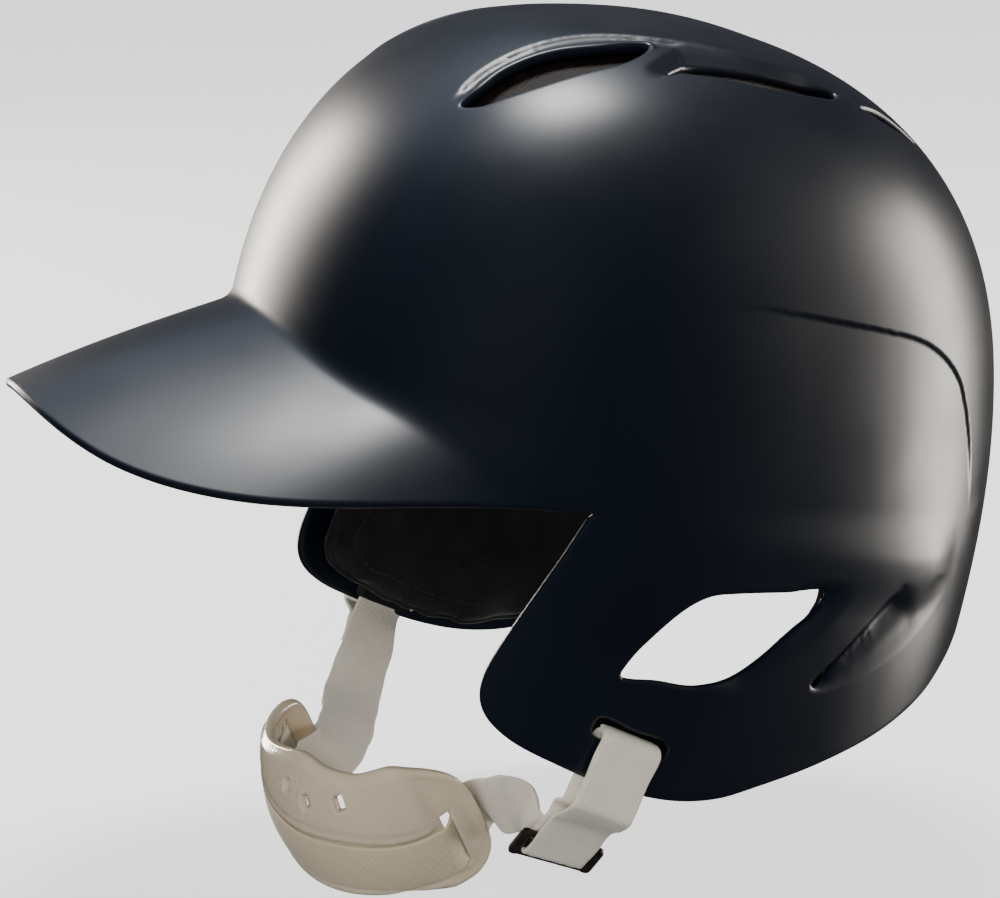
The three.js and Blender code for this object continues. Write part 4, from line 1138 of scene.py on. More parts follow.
def ribbon(name, rows, mat=None, thick=1.4, pitch=1.45, amp=0.14, lean=0.35, wobble=0.25, seed=1):
    """Woven webbing: cross ribs that lean a little, a plain selvedge at each side, slightly uneven edges."""
    c, w, n, t, h, s = even_rows(rows)
    rng = np.random.RandomState(seed)
    k1, k2, k3 = rng.rand(3) * 6.28
    edge_l = wobble * (0.5 * np.sin(s / 5.1 + k1) + 0.5 * np.sin(s / 2.3 + k2))
    edge_r = wobble * (0.5 * np.sin(s / 4.3 + k2) + 0.5 * np.sin(s / 2.7 + k3))
    verts, ns = [], len(SECT)
    top = SECT
    ring = [(u, v, g, 1) for u, v, g in top] + [(u, -v, g, -1) for u, v, g in reversed(top[1:-1])]
    m = len(ring)
    for i in range(len(c)):
        for u, v, g, sg in ring:
            hh = h[i] + (edge_l[i] if u < 0 else edge_r[i]) * abs(u) ** 3 * min(1, h[i] / 6)
            x = u * hh
            rib = amp * g * math.cos(2 * math.pi * (s[i] + lean * x * sg) / pitch) if g else 0.0
            if 0 < g < 0.5:
                rib -= 0.07
            verts.append(c[i] + w[i] * x + n[i] * (v * thick / 2 + sg * rib))
    faces = []
    for i in range(len(c) - 1):
        for j in range(m):
            a, b = i * m + j, i * m + (j + 1) % m
            faces.append((a, a + m, b + m, b))
    # closed ends, slightly drawn in
    for i, d in ((0, -1), (len(c) - 1, 1)):
        k = len(verts)
        verts.append(c[i] + t[i] * d * 0.05)
        for j in range(m):
            a, b = i * m + j, i * m + (j + 1) % m
            faces.append((a, b, k) if d < 0 else (b, a, k))
    v = np.array(verts)
    f0 = faces[0]
    nn = np.cross(v[f0[1]] - v[f0[0]], v[f0[2]] - v[f0[0]])
    if nn @ (v[f0[0]] - c[0]) < 0:
        faces = [tuple(reversed(f)) for f in faces]
    return make_mesh(name, v, faces, mat or M_WEB), (c, w, n, t, h, s)


def thread_run(pts, nrm_, dirs, length, radius=0.22, lift=0.05):
    """Vertices and faces of separate stitches: short threads arched over the cloth."""
    verts, faces = [], []
    for p, n, d in zip(pts, nrm_, dirs):
        b = unit(np.cross(n, d))
        k0 = len(verts)
        for i in range(7):
            f = i / 6 * 2 - 1
            r = radius * max(0.25, math.sqrt(max(0.0, 1 - f ** 4)))
            c = p + d * (f * length / 2) + n * (lift + 0.16 * (1 - f * f) - 0.12 * f ** 4)
            for j in range(8):
                a = 2 * math.pi * j / 8
                verts.append(c + b * (r * math.cos(a)) + n * (r * 0.8 * math.sin(a)))
        for i in range(6):
            for j in range(8):
                q, e = k0 + i * 8 + j, k0 + i * 8 + (j + 1) % 8
                faces.append((q, e, e + 8, q + 8))
        faces.append(tuple(k0 + j for j in reversed(range(8))))
        faces.append(tuple(k0 + 48 + j for j in range(8)))
    return verts, faces


def stitch_lines(name, frame_, lines, side, thick, length=2.0, gap=0.75):
    """Stitches on a ribbon: each line is ((share u, distance s), (u, s)) between two points of it."""
    c, w, n, t, h, s = frame_
    P, N, D = [], [], []
    for (u0, s0), (u1, s1) in lines:
        i0, i1 = np.interp([s0, s1], s, np.arange(len(s)))
        total = math.hypot((u1 - u0) * 10, s1 - s0)
        m = max(1, int(total / (length + gap)))
        for k in range(m):
            f = (k + 0.5) / m
            sv, u = s0 + (s1 - s0) * f, u0 + (u1 - u0) * f
            i = min(len(s) - 1, max(0, int(round(np.interp(sv, s, np.arange(len(s)))))))
            d = w[i] * ((u1 - u0) * 10) + t[i] * (s1 - s0)
            P.append(c[i] + w[i] * u * h[i] + n[i] * side * (thick / 2 + 0.03)); N.append(n[i] * side); D.append(nrm(d))
    v, f = thread_run(P, N, D, length)
    return make_mesh(name, np.array(v), f, M_THREAD)


def ride_all(obs, body):
    for o in obs:
        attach(o, body)


A_ = ALONG
_c, _r = (N_OUT + N_IN) / 2, (N_OUT - N_IN) / 2
bar_rows = [(at(_c + _r * math.cos(f), 2.4 - 2.6 * math.sin(f)), A_) for f in np.linspace(math.pi, 0, 9)]
tail_rows = [(at(_c + (_r + 1.35) * math.cos(f), 2.4 - 3.75 * math.sin(f)), A_) for f in np.linspace(1.9, 0, 6)]
loop_keys = [(at(N_IN, 10), A_), (at(N_IN, 6.4), A_)] + bar_rows + [
    (at(N_OUT, 6.4), A_), (at(N_OUT, 11), A_), (at(N_OUT, HINGE_D), A_), (at(N_OUT - 0.1, HINGE_D + 6.5), A_), (on_s(0, -21, 2.6), SA), (on_s(0, -16, LAY), SA), (on_s(0, -8, LAY), SA), (on_s(0, -2.5, LAY), SA), (on_s(0, 1.5, LAY), SA)]
loop_keys += [(on_s(0, 1.5 + LAY * math.sin(f), LAY * math.cos(f)), SA) for f in (0.52, 1.05, 1.57, 2.09, 2.62)]
loop_keys += [(on_s(0, 1.5, -LAY), SA), (on_s(0, -2.5, -LAY), SA), (on_s(0, -8, -LAY), SA), (on_s(0, -16, -LAY), SA), (on_s(0, -21, -3.2), SA), (at(N_IN, HINGE_D + 6.5), A_), (at(N_IN, HINGE_D), A_), (at(N_IN, 10.4), A_)]
loop_web, loop_fr = ribbon("left_loop_band", along(loop_keys, 14), seed=3)
# outer tail of the loop: over the fold and down to its cut end
tail_keys = [(p, w, 9.9) for p, w in tail_rows] + [(at(N_OUT + 1.5, 6), A_), (at(N_OUT + 1.55, 11.5), A_), (at(N_OUT + 1.7, HINGE_D + 1), A_), (at(N_OUT + 1.65, HINGE_D + 5.5), A_), (on_s(0.3, -26.2, 4.7), SA)]
tail_web, tail_fr = ribbon("left_loop_tail", along(tail_keys, 14), seed=8, wobble=0.4)
L0 = tail_fr[5][-1]
tail_st = stitch_lines("left_loop_stitches", tail_fr, [((-0.86, L0 - 3.2), (0.86, L0 - 3.2)), ((-0.86, L0 - 1.4), (0.86, L0 - 1.4)), ((-0.86, L0 - 9.6), (0.86, L0 - 9.6))], 1, 1.4)
# a few loose yarn ends at the cut
yv, yf = [], []
rng = np.random.RandomState(5)
c_, w_, n_, t_, h_, s_ = tail_fr
for k in range(26):
    u = -0.96 + 1.92 * k / 25
    st = c_[-1] + w_[-1] * (u * h_[-1]) + n_[-1] * rng.uniform(-0.35, 0.35)
    ln = rng.uniform(0.35, 1.1) if k < 25 else 1.9
    dr = nrm(t_[-1] + w_[-1] * rng.uniform(-0.4, 0.4) + n_[-1] * rng.uniform(-0.2, 0.35))
    vv, ff = thread_run([st + dr * ln * 0.4], [n_[-1]], [dr], ln, radius=0.17, lift=0)
    yf += [tuple(i + len(yv) for i in f) for f in ff]
    yv += vv
yarns = make_mesh("left_loop_yarn_ends", np.array(yv), yf, M_THREAD)

# webbing from behind the loop, over the arch and into the near wing
DV = CUP_T / 2 + 0.75


def web_h(a):
    return 1.0 - 4.5 * smooth((np.asarray(a, float) - 15) / 50)


lead_keys = [(on_s(7.5, 0.5, -LAY - 1.9), -SD, 7.4), (on_s(0, 0.5, -LAY - 1.95), -SD, 7.8), (on_s(-7.5, 0.5, -LAY - 3.2), -SD, 8.8),
             (v3(62.5, -13.2, -216.8), v3(0.66, 0.02, 0.72), 9.6), (v3(53, -14.6, -217.4), v3(0.44, -0.18, 0.86), 10), (v3(43.5, -15.8, -220.8), v3(0.24, -0.30, 0.90), 10),
             (cup_at(97, float(web_h(91)), -DW - 1.2), CW), (cup_at(91, float(web_h(91)), -DW), CW), (cup_at(85, float(web_h(85)), -DW), CW), (cup_at(80.5, float(web_h(80)), -DW + 0.2), CW), (cup_at(78.6, float(web_h(78)), -1.4), CW)]
pass_near = [(cup_at(79.4, float(web_h(79)), -DW + 0.5), CW), (cup_at(77.4, float(web_h(77)), -0.9), CW), (cup_at(75.8, float(web_h(76)), 0.3), CW), (cup_at(73.8, float(web_h(74)), 1.3), CW), (cup_at(71.2, float(web_h(71)), DV), CW), (cup_at(69.5, float(web_h(69)), DV), CW)]
lead_web, lead_fr = ribbon("near_cup_webbing", along(lead_keys, 14), seed=11)
# The webbing on and through the chin cup uses a darker, browner copy of the ivory webbing material. This is painted
# shade: it is the same webbing, shaded on the cup's lower, downward-facing side.
M_WEB_PAINTED_SHADE = webbing_material("webbing_on_cup", tint=(0.80, 0.72, 0.58))
pass_n, _ = ribbon("near_slot_webbing", along(pass_near, 14), mat=M_WEB_PAINTED_SHADE, thick=1.2, seed=14, wobble=0.1)
# round the outside of the cup the webbing lies in a channel and follows the cup's curve
_bl, _bb = [], []
for a_b in np.linspace(-71.5, 71.0, 150):
    _bl.append((a_b * CUP_R * D2R, float(web_h(a_b)) + 9.9)); _bb.append((a_b * CUP_R * D2R, float(web_h(a_b)) - 9.9))
bxy, btri = flat_mesh(np.array(_bb + _bl[::-1]), [], 0.62)
ba_, bh_ = bxy[:, 0] / (CUP_R * D2R), bxy[:, 1]
bmid = cup_at(ba_, bh_, DV)
bn = unit(np.cross(cup_at(ba_ + 0.3, bh_, DV) - cup_at(ba_ - 0.3, bh_, DV), cup_at(ba_, bh_ + 0.3, DV) - cup_at(ba_, bh_ - 0.3, DV)))
if (bn * (bmid - CO)).sum() < 0:
    bn = -bn
fn = np.cross(bmid[btri[:, 1]] - bmid[btri[:, 0]], bmid[btri[:, 2]] - bmid[btri[:, 0]])
if (fn * bn[btri[:, 0]]).sum() < 0:
    btri = btri[:, ::-1]
_e = 9.9 - np.abs(bh_ - web_h(ba_))
ribs = 0.12 * np.cos(2 * np.pi * (bxy[:, 0] + 0.35 * bh_) / 1.9) * smooth(_e / 1.2)
# painted shade: this band uses the darker copy of the webbing material
band_web = solid_sheet("cup_outer_webbing", bmid, btri, bn, 0.6 + ribs, 0.55, 0.35, M_WEB_PAINTED_SHADE, ks=4)
# webbing from the right flap into the far wing
fm = v3(-1, 1, 1)
p1, p2, p4, p5 = v3(-101, -8.3, -192.6), v3(-71.5, -28.2, -214.8), v3(-46, -38.6, -218.2), v3(-26, -50.9, -220.2)
w1, w2, w3 = v3(-0.39, 0.832, -0.394), v3(-0.17, 0.9465, -0.274), v3(-0.3, 0.785, -0.537)
far_keys = [(at(N_IN, 2.4, -2.0) * fm, A_), (at(N_IN, 6.5, -5.8) * fm, A_), (p1, w1), (p1 * 0.5 + p2 * 0.5 + v3(-1.6, 0.3, -1.2), w1 * 0.5 + w2 * 0.5), (p2, w2), (p4, w2 * 0.35 + w3 * 0.65), (p5, w3),
            (cup_at(-64, 1, -3.4), -CW), (cup_at(-70, 1, -DW - 0.1), -CW), (cup_at(-75.4, 1, -1.7), -CW), (cup_at(-77.0, 1, -0.4), -CW)]
pass_far = [(cup_at(-75.4, 1, -1.9), CW), (cup_at(-77.4, 1, -0.7), CW), (cup_at(-77.6, 1, 0.6), CW), (cup_at(-75.4, 1, 1.5), CW), (cup_at(-72, 1, DV), CW), (cup_at(-70, 1, DV), CW)]
# painted shade: the far slot piece uses the darker copy of the webbing material
pass_f, _ = ribbon("far_slot_webbing", along(pass_far, 14), mat=M_WEB_PAINTED_SHADE, thick=1.2, seed=15, wobble=0.1)
far_web, far_fr = ribbon("far_cup_webbing", along(far_keys, 14), seed=21)
# the bar loop of the right webbing, ending in a sewn overlap on the outside
ro_keys = [(at(N_IN, 3.2, -2.0) * fm, A_)] + [((p - A_ * 2.0) * fm, w) for p, w in bar_rows] + [(at(N_OUT, 6.4, -4.4) * fm, A_), (at(N_OUT, 11, -8.0) * fm, A_), (at(N_OUT - 1.6, 15.5, -10.6) * fm, A_ * 0.5 + w1 * 0.5)]
i0 = int(np.argmin([np.linalg.norm(q - (p1 * 0.80 + p2 * 0.20)) for q in far_fr[0]]))
i1 = i0 + int(12.5 / 0.34)
sgn = 1.0 if (far_fr[2][i0] @ v3(-1, 0, 0.3)) > 0 else -1.0
ro_keys += [(far_fr[0][i] + far_fr[2][i] * sgn * 1.5, far_fr[1][i]) for i in np.linspace(i0, i1, 4).astype(int)]
ro_web, ro_fr = ribbon("far_loop_outer", along(ro_keys, 14), seed=22, wobble=0.35)
s0f, s1f = far_fr[5][i0], far_fr[5][i1]
far_st = stitch_lines("far_loop_stitches", far_fr, [((-0.85, s0f - 4.0), (0.85, s0f - 4.0)), ((-0.85, s0f - 2.6), (0.85, s0f - 2.6)), ((-0.85, s1f - 3.0), (0.85, s1f - 3.0)), ((-0.85, s1f - 1.6), (0.85, s1f - 1.6))], -sgn, 1.4, length=1.7, gap=0.9)
for ob in (loop_web, tail_web, tail_st, yarns):
    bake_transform(ob)
for ob in (far_web, ro_web, far_st):
    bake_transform(ob)
ride_all([lead_web, band_web, pass_n, pass_f], "chin_strap")
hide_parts("left_loop_webbing", "flap_webbing_left")
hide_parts("right_webbing", "flap_webbing_right")
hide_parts("cup_webbing")


# ------------------------------------------------------------------ chin cup
def cup_outline():
    u = np.linspace(-1, 1, 401)
    hu = np.interp(u, [-1, -0.85, -0.7, -0.5, -0.3, -0.12, 0, 0.22, 0.44, 0.68, 0.85, 0.93, 1], [15, 19, 21.5, 25.5, 30, 33.2, 34.0, 31.8, 30.2, 32.3, 28.5, 23.5, 17.5])
    hl = np.interp(np.abs(u), [0, 0.3, 0.5, 0.62, 0.8, 0.9, 1], [12.6, 12.6, 13.0, 15.5, 21.8, 20.8, 15.6])
    return np.array([(x * CUP_HALF, h) for x, h in zip(u, hu)] + [(x * CUP_HALF, -h) for x, h in zip(u[::-1], hl[::-1])])


KA = CUP_R * D2R                       # millimetres of arc per degree
_o = cup_outline() * np.array([KA, 1.0])
_o = resample(_o, 0.9)
for _ in range(60):                    # the corners of the wings are rounded
    m = np.abs(_o[:, 0]) > 46
    q = _o * 0.5 + (np.roll(_o, 1, 0) + np.roll(_o, -1, 0)) * 0.25
    _o = np.where(m[:, None], q, _o)
for _ in range(14):
    _o = _o * 0.5 + (np.roll(_o, 1, 0) + np.roll(_o, -1, 0)) * 0.25
_o = resample(_o, 1.0)


def round_box(cx, cy, lx, ly, r, ang=0.0, n=7):
    out = []
    for sx, sy, a0 in ((1, 1, 0), (-1, 1, 90), (-1, -1, 180), (1, -1, 270)):
        for k in range(n):
            t = (a0 + 90 * k / (n - 1)) * D2R
            out.append((sx * (lx / 2 - r) + r * math.cos(t), sy * (ly / 2 - r) + r * math.sin(t)))
    q = np.array(out)
    c, s = math.cos(ang), math.sin(ang)
    return resample(np.stack([cx + q[:, 0] * c - q[:, 1] * s, cy + q[:, 0] * s + q[:, 1] * c], -1), 0.7)


cup_holes = [round_box(75.6 * KA, float(web_h(76)) + 1.5, 5.2, 26.4, 1.3), round_box(-76 * KA, 1.8, 5.2, 24.0, 1.4)]
cup_holes += [round_box(a * KA, h, 4.4 * s, 4.4 * s, 1.3 * s, 0.25) for a, h, s in ((-8, 24.4, 1.1), (7, 22.6, 1.15), (28, 23.8, 1.25))]
cxy, ctri = flat_mesh(_o, cup_holes, 1.15)
ca, ch = cxy[:, 0] / KA, cxy[:, 1]
e = 0.3
base = cup_at(ca, ch, 0.0)
cn = unit(np.cross(cup_at(ca + e, ch, 0) - cup_at(ca - e, ch, 0), cup_at(ca, ch + e, 0) - cup_at(ca, ch - e, 0)))
if (cn * (base - CO)).sum() < 0:
    cn = -cn
fn = np.cross(base[ctri[:, 1]] - base[ctri[:, 0]], base[ctri[:, 2]] - base[ctri[:, 0]])
if (fn * cn[ctri[:, 0]]).sum() < 0:
    ctri = ctri[:, ::-1]
rim_d = nearest_dist(np.column_stack([cxy, np.zeros(len(cxy))]), np.column_stack([_o, np.zeros(len(_o))]))
hole_d = nearest_dist(np.column_stack([cxy, np.zeros(len(cxy))]), np.column_stack([np.vstack(cup_holes[2:]), np.zeros(sum(len(h) for h in cup_holes[2:]))]))
wh = web_h(ca)
over = smooth((ch - wh - 10.4) / 1.6) * (1 - smooth((np.abs(ca) - 64) / 10)) * smooth(rim_d / 3)
under = smooth((-(ch - wh) - 10.8) / 1.2) * (1 - smooth((np.abs(ca) - 64) / 10))
bead = (1 - smooth((rim_d - 1.3) / 1.5))
groove = np.exp(-((ch - wh - 13.6) / 1.0) ** 2) * (1 - smooth((np.abs(ca) - 60) / 10))
lipo = 0.28 * (1 - smooth((hole_d - 0.6) / 1.2))
upv = CUP_T / 2 + 1.75 * over + 0.9 * under + 0.75 * bead - 0.5 * groove + lipo
dnv = CUP_T / 2 + 0.45 * bead + 0.0 * ch
cup = solid_sheet("chin_cup_shell", base, ctri, cn, upv, dnv, 0.9, M_CUP, ks=7)
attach(cup, "chin_strap")
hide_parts("chin_cup")


# ------------------------------------------------------------------ slider
so = round_box(0, 0, 27.0, 13.0, 1.3)
sh = [round_box(0, 3.1, 21.2, 3.6, 0.8), round_box(0, -3.1, 21.2, 3.6, 0.8)]
sxy, stri = flat_mesh(so, sh, 0.8)
sm = np.array([on_s(x, y, 0) for x, y in sxy])
sn = np.tile(SN, (len(sm), 1))
fn = np.cross(sm[stri[:, 1]] - sm[stri[:, 0]], sm[stri[:, 2]] - sm[stri[:, 0]])
if (fn @ SN).sum() < 0:
    stri = stri[:, ::-1]
ed = nearest_dist(np.column_stack([sxy, np.zeros(len(sxy))]), np.column_stack([so, np.zeros(len(so))]))
end_bar = smooth((np.abs(sxy[:, 0]) - 10.5) / 0.9)
st = 0.72 + 0.22 * smooth(ed / 1.0) + end_bar * (0.35 + 0.42 * smooth(ed / 1.1))
slider = solid_sheet("strap_slider_frame", sm, stri, sn, st, st, 0.32, M_METAL)
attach(slider, "slider")
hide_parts("strap_slider")


# ------------------------------------------------------------------ keepers
def keeper(name, node, a0, mirror, length=24.5, tilt=0.0, d0=10.0):
    o_ = round_box(0, 0, length, 6.6, 2.0)
    kxy, ktr = flat_mesh(o_, [], 1.3)
    d_ = nearest_dist(np.column_stack([kxy, np.zeros(len(kxy))]), np.column_stack([o_, np.zeros(len(o_))]))
    dome_ = 1.0 * smooth((length / 2 + 0.1 - np.abs(kxy[:, 0])) / 2.2)
    m_ = np.array([at(-6.35 - dm + tilt * x, d0 + y, a0 + x) for (x, y), dm in zip(kxy, dome_)])
    n_ = np.tile(-OUTW, (len(m_), 1))
    if mirror:
        m_, n_ = m_ * v3(-1, 1, 1), -n_
    f_ = np.cross(m_[ktr[:, 1]] - m_[ktr[:, 0]], m_[ktr[:, 2]] - m_[ktr[:, 0]])
    if (f_ * n_[0]).sum() < 0:
        ktr = ktr[:, ::-1]
    ob = solid_sheet(name, m_, ktr, n_, 0.45 + 0.3 * smooth(d_ / 1.2), 0.35, 0.4, M_PLASTIC, ks=5)
    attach(ob, "helmet")
    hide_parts(node)


keeper("strap_keeper_left_bridge", "strap_keeper_left", 0.0, False)
keeper("strap_keeper_right_bridge", "strap_keeper_right", -8.6, True, 22.5, 0.16, 9.6)


# ------------------------------------------------------------------ liner pads: leather over foam, swollen by cloth simulation
def tidy(ob):
    """The evaluated mesh of an object, as its own data, with no modifiers left."""
    dg = bpy.context.evaluated_depsgraph_get()
    me = bpy.data.meshes.new_from_object(ob.evaluated_get(dg), preserve_all_data_layers=True, depsgraph=dg)
    ob.modifiers.clear()
    old = ob.data
    ob.data = me
    bpy.data.meshes.remove(old)
    return ob


def coords_of(me):
    v = np.empty(len(me.vertices) * 3)
    me.vertices.foreach_get("co", v)
    return v.reshape(-1, 3)


def wrap(a):
    return (np.asarray(a, float) + 180) % 360 - 180


KX = 1.885


def skin_point(a, z, depth):
    aw = wrap(a)
    s = s_of(z)
    return surf(aw, s) - pad_normal(aw, s) * np.asarray(depth, float).reshape(-1, 1)


def pad_normal(a, s):
    sg = np.where(a < 0, -1.0, 1.0)
    n = surf_normal(np.clip(np.abs(a), 0.2, 179.8), s)
    return n * np.stack([sg, np.ones_like(sg), np.ones_like(sg)], -1)


def swell(ob, out_dir, pressure=4.0, out_cap=0.6, in_cap=2.4, voxel=0.004, shrink=0.0):
    r = ob.modifiers.new("voxels", "REMESH")
    r.mode, r.voxel_size, r.use_smooth_shade = "VOXEL", voxel, True
    tidy(ob)
    start = coords_of(ob.data).copy()
    n_out = out_dir(start / MM)
    g = ob.vertex_groups.new(name="held")
    c = ob.modifiers.new("cloth", "CLOTH")
    st = c.settings
    st.quality, st.mass, st.time_scale = 6, 0.25, 1.0
    st.tension_stiffness = st.compression_stiffness = 12
    st.shear_stiffness, st.bending_stiffness = 8, 3.0
    st.use_pressure, st.uniform_pressure_force = True, pressure
    st.effector_weights.gravity = 0.0
    st.shrink_min = shrink
    sc = bpy.context.scene
    c.point_cache.frame_start, c.point_cache.frame_end = 1, 20
    for f in range(1, 21):
        sc.frame_set(f)
    tidy(ob)
    sc.frame_set(1)
    now = coords_of(ob.data)
    d = (now - start) / MM
    out = (d * n_out).sum(-1)
    d += n_out * (np.clip(out, -in_cap, out_cap) - out)[:, None]
    ln = np.linalg.norm(d, axis=1)
    d *= np.minimum(1, in_cap / np.maximum(ln, 1e-9))[:, None]
    ob.data.vertices.foreach_set("co", (start + d * MM).reshape(-1))
    ob.data.update()
    sm_ = ob.modifiers.new("even", "SMOOTH")
    sm_.factor, sm_.iterations = 0.5, 5
    sd_ = ob.modifiers.new("finer", "SUBSURF")
    sd_.levels = sd_.render_levels = 1
    tidy(ob)
    ob.data.polygons.foreach_set("use_smooth", [True] * len(ob.data.polygons))
    return ob


def tube(path, radius, sides=8):
    p = np.asarray(path, float)
    t = unit(np.roll(p, -1, 0) - np.roll(p, 1, 0))
    ref = v3(0.3, 0.2, 0.93)
    b = unit(np.cross(t, ref))
    verts, faces, m = [], [], len(p)
    n = np.cross(b, t)
    for i in range(m):
        for j in range(sides):
            a = 2 * math.pi * j / sides
            verts.append(p[i] + b[i] * radius * math.cos(a) + n[i] * radius * math.sin(a))
    for i in range(m):
        for j in range(sides):
            q, e, f, g = i * sides + j, i * sides + (j + 1) % sides, ((i + 1) % m) * sides + (j + 1) % sides, ((i + 1) % m) * sides + j
            faces.append((q, e, f, g))
    return verts, faces


def drop_on(ob, pts, rise=0.0):
    """The nearest points on a piece, with the surface's direction there."""
    P, N = [], []
    for q in pts:
        ok, loc, nn, _ = ob.closest_point_on_mesh(Vector(q * MM))
        P.append(np.array(loc) / MM + np.array(nn) * rise)
        N.append(np.array(nn))
    return np.array(P), unit(np.array(N))


def even_loop(p, step):
    p = resample(p, step)
    for _ in range(5):
        p = p * 0.5 + (np.roll(p, 1, 0) + np.roll(p, -1, 0)) * 0.25
    return p


M_BTHREAD = thread_material("black_thread", (0.02, 0.02, 0.021), (0.045, 0.045, 0.047))


def pad_piece(name, nodes, outline, thick, holes=(), depth0=5.3, pocket=None, seams=(), pressure=4.0, deeper=None):
    """A pad from its outline in (plan angle, height); thick is how far it stands inwards."""
    o = np.asarray(outline, float) * np.array([KX, 1.0])
    o = even_loop(resample(o, 1.5), 3.2)
    hs = [even_loop(resample(np.asarray(h, float) * np.array([KX, 1.0]), 1.5), 3.2) for h in holes]
    xy, tr = flat_mesh(o, hs, 3.6)
    rim_pts = np.vstack([o] + hs)
    d = nearest_dist(np.column_stack([xy, np.zeros(len(xy))]), np.column_stack([rim_pts, np.zeros(len(rim_pts))]))
    a, z = xy[:, 0] / KX, xy[:, 1]
    th = np.full(len(a), thick) if pocket is None else pocket(a, z, thick)
    prof = 0.52 + 0.48 * np.sqrt(smooth(d / 13.0))
    half = th / 2
    back_d = np.full(len(a), depth0 + 0.6) + (0 if deeper is None else deeper(a, z))
    depth_mid = back_d + half * 0.94
    mid = skin_point(a, z, depth_mid)
    nn = pad_normal(wrap(a), s_of(z))
    fn = np.cross(mid[tr[:, 1]] - mid[tr[:, 0]], mid[tr[:, 2]] - mid[tr[:, 0]])
    if (fn * nn[tr[:, 0]]).sum() < 0:
        tr = tr[:, ::-1]
    ob = solid_sheet(name, mid, tr, nn, half * 0.94 * (0.80 + 0.20 * smooth(d / 6)), half * prof * 1.02, 1.9, M_PAD, ks=4)

    def outward(p):
        ang = np.degrees(np.arctan2(p[:, 0], -(p[:, 1] - 20)))
        return pad_normal(wrap(ang), np.clip(s_of(p[:, 2]), -0.9, 0.97))
    swell(ob, outward, pressure)
    # piping round the edge, and a row of stitches inside it
    vs, fs = [], []
    for lp, sg in [(o, 1.0)] + [(h, -1.0) for h in hs]:
        a1, z1 = lp[:, 0] / KX, lp[:, 1]
        th1 = np.full(len(a1), thick) if pocket is None else pocket(a1, z1, thick)
        c = skin_point(a1, z1, depth0 + 0.6 + th1 * 0.5 + (0 if deeper is None else deeper(a1, z1)))
        t = unit(np.roll(c, -1, 0) - np.roll(c, 1, 0))
        out = np.cross(t, pad_normal(wrap(a1), s_of(z1)))
        ctr = np.vstack([skin_point(a, z, depth_mid)]).mean(0)
        if ((c - ctr) * out).sum() * sg < 0:
            out = -out
        far, _ = drop_on(ob, c + out * 5.0)
        far = even_loop(far, 1.6)
        far, nf = drop_on(ob, far, 0.35)
        v, f = tube(far, 0.85)
        fs += [tuple(i + len(vs) for i in q) for q in f]
        vs += v
    pipe = make_mesh(name + "_piping", np.array(vs), fs, M_PAD)
    sv, sf = [], []
    lines = []
    for lp, sg in [(o, 1.0)] + [(h, -1.0) for h in hs]:
        cxy_ = lp.mean(0)
        t2 = unit(np.roll(lp, -1, 0) - np.roll(lp, 1, 0))
        n2 = np.stack([t2[:, 1], -t2[:, 0]], -1)
        if ((lp - cxy_) * n2).sum() < 0:
            n2 = -n2
        ins = lp - n2 * 5.5 * sg
        lines.append((even_loop(ins, 3.4), True))
    for s_ in seams:
        q = np.asarray(s_, float) * np.array([KX, 1.0])
        lines.append((resample(q, 3.4, closed=False), False))
    for lp, closed in lines:
        a1, z1 = lp[:, 0] / KX, lp[:, 1]
        p, nf = drop_on(ob, skin_point(a1, z1, depth0 + thick + 8.0), 0.02)
        d1 = (np.roll(p, -1, 0) - np.roll(p, 1, 0)) if closed else np.gradient(p, axis=0)
        ok = np.linalg.norm(d1, axis=1) > 1e-6
        ok &= np.linalg.norm(np.cross(unit(d1), nf), axis=1) > 0.3
        v, f = thread_run(p[ok], nf[ok], unit(d1[ok]), 2.3, radius=0.24, lift=0.0)
        sf += [tuple(i + len(sv) for i in q) for q in f]
        sv += v
    st_ = make_mesh(name + "_stitches", np.array(sv), sf, M_BTHREAD)
    out_obs = [ob, pipe, st_]
    for x in out_obs:
        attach(x, "helmet")
    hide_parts(nodes[0])
    return out_obs


def twin(obs, name_from, name_to, node):
    """The same pieces on the other side of the helmet."""
    for k, ob in enumerate(obs):
        me = ob.data.copy()
        v = coords_of(me)
        v[:, 0] *= -1
        me.vertices.foreach_set("co", v.reshape(-1))
        me.flip_normals()
        me.update()
        o2 = bpy.data.objects.new(ob.name.replace(name_from, name_to), me)
        bpy.context.scene.collection.objects.link(o2)
        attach(o2, "helmet")
        if k == 0:
            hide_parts(node)


def box_line(a0, a1, z0, z1, r=7.0, nn_=8):
    """Rounded box in (plan angle, height)."""
    q = round_box((a0 + a1) / 2 * KX, (z0 + z1) / 2, abs(a1 - a0) * KX, abs(z1 - z0), r)
    return q / np.array([KX, 1.0])


brow = pad_piece("brow_pad_leather", ["brow_pad"], box_line(-43, 43, -17.5, -55.5, 12), 10.2, seams=[[(-15, -20), (-15, -53)], [(15, -20), (15, -53)]])
side = pad_piece("side_pad_left_leather", ["side_pad_left"], box_line(59, 115, -22, -102.5, 13), 10.2, seams=[[(62, -62), (112, -62)]])
twin(side, "left", "right", "side_pad_right")
rear = pad_piece("rear_pad_left_leather", ["rear_pad_left"], box_line(131, 173, -43.5, -106.5, 12), 10.2, seams=[[(133, -75), (171, -75)]])
twin(rear, "left", "right", "rear_pad_right")
nape = pad_piece("nape_pad_leather", ["nape_pad"], box_line(147.5, 212.5, -119.5, -158.5, 12), 8.4, seams=[[(170, -122), (170, -156)], [(190, -122), (190, -156)]])


def az_of(yz, depth=0.0):
    """Plan angle of side-view points (y, z) on the left wall."""
    out = []
    for y, z in yz:
        aa = np.linspace(50, 150, 500)
        pp = surf(aa, np.full(500, s_of(z))) - surf_normal(aa, np.full(500, float(s_of(z)))) * depth
        out.append([float(np.interp(y, pp[:, 1], aa)), float(z)])
    return out


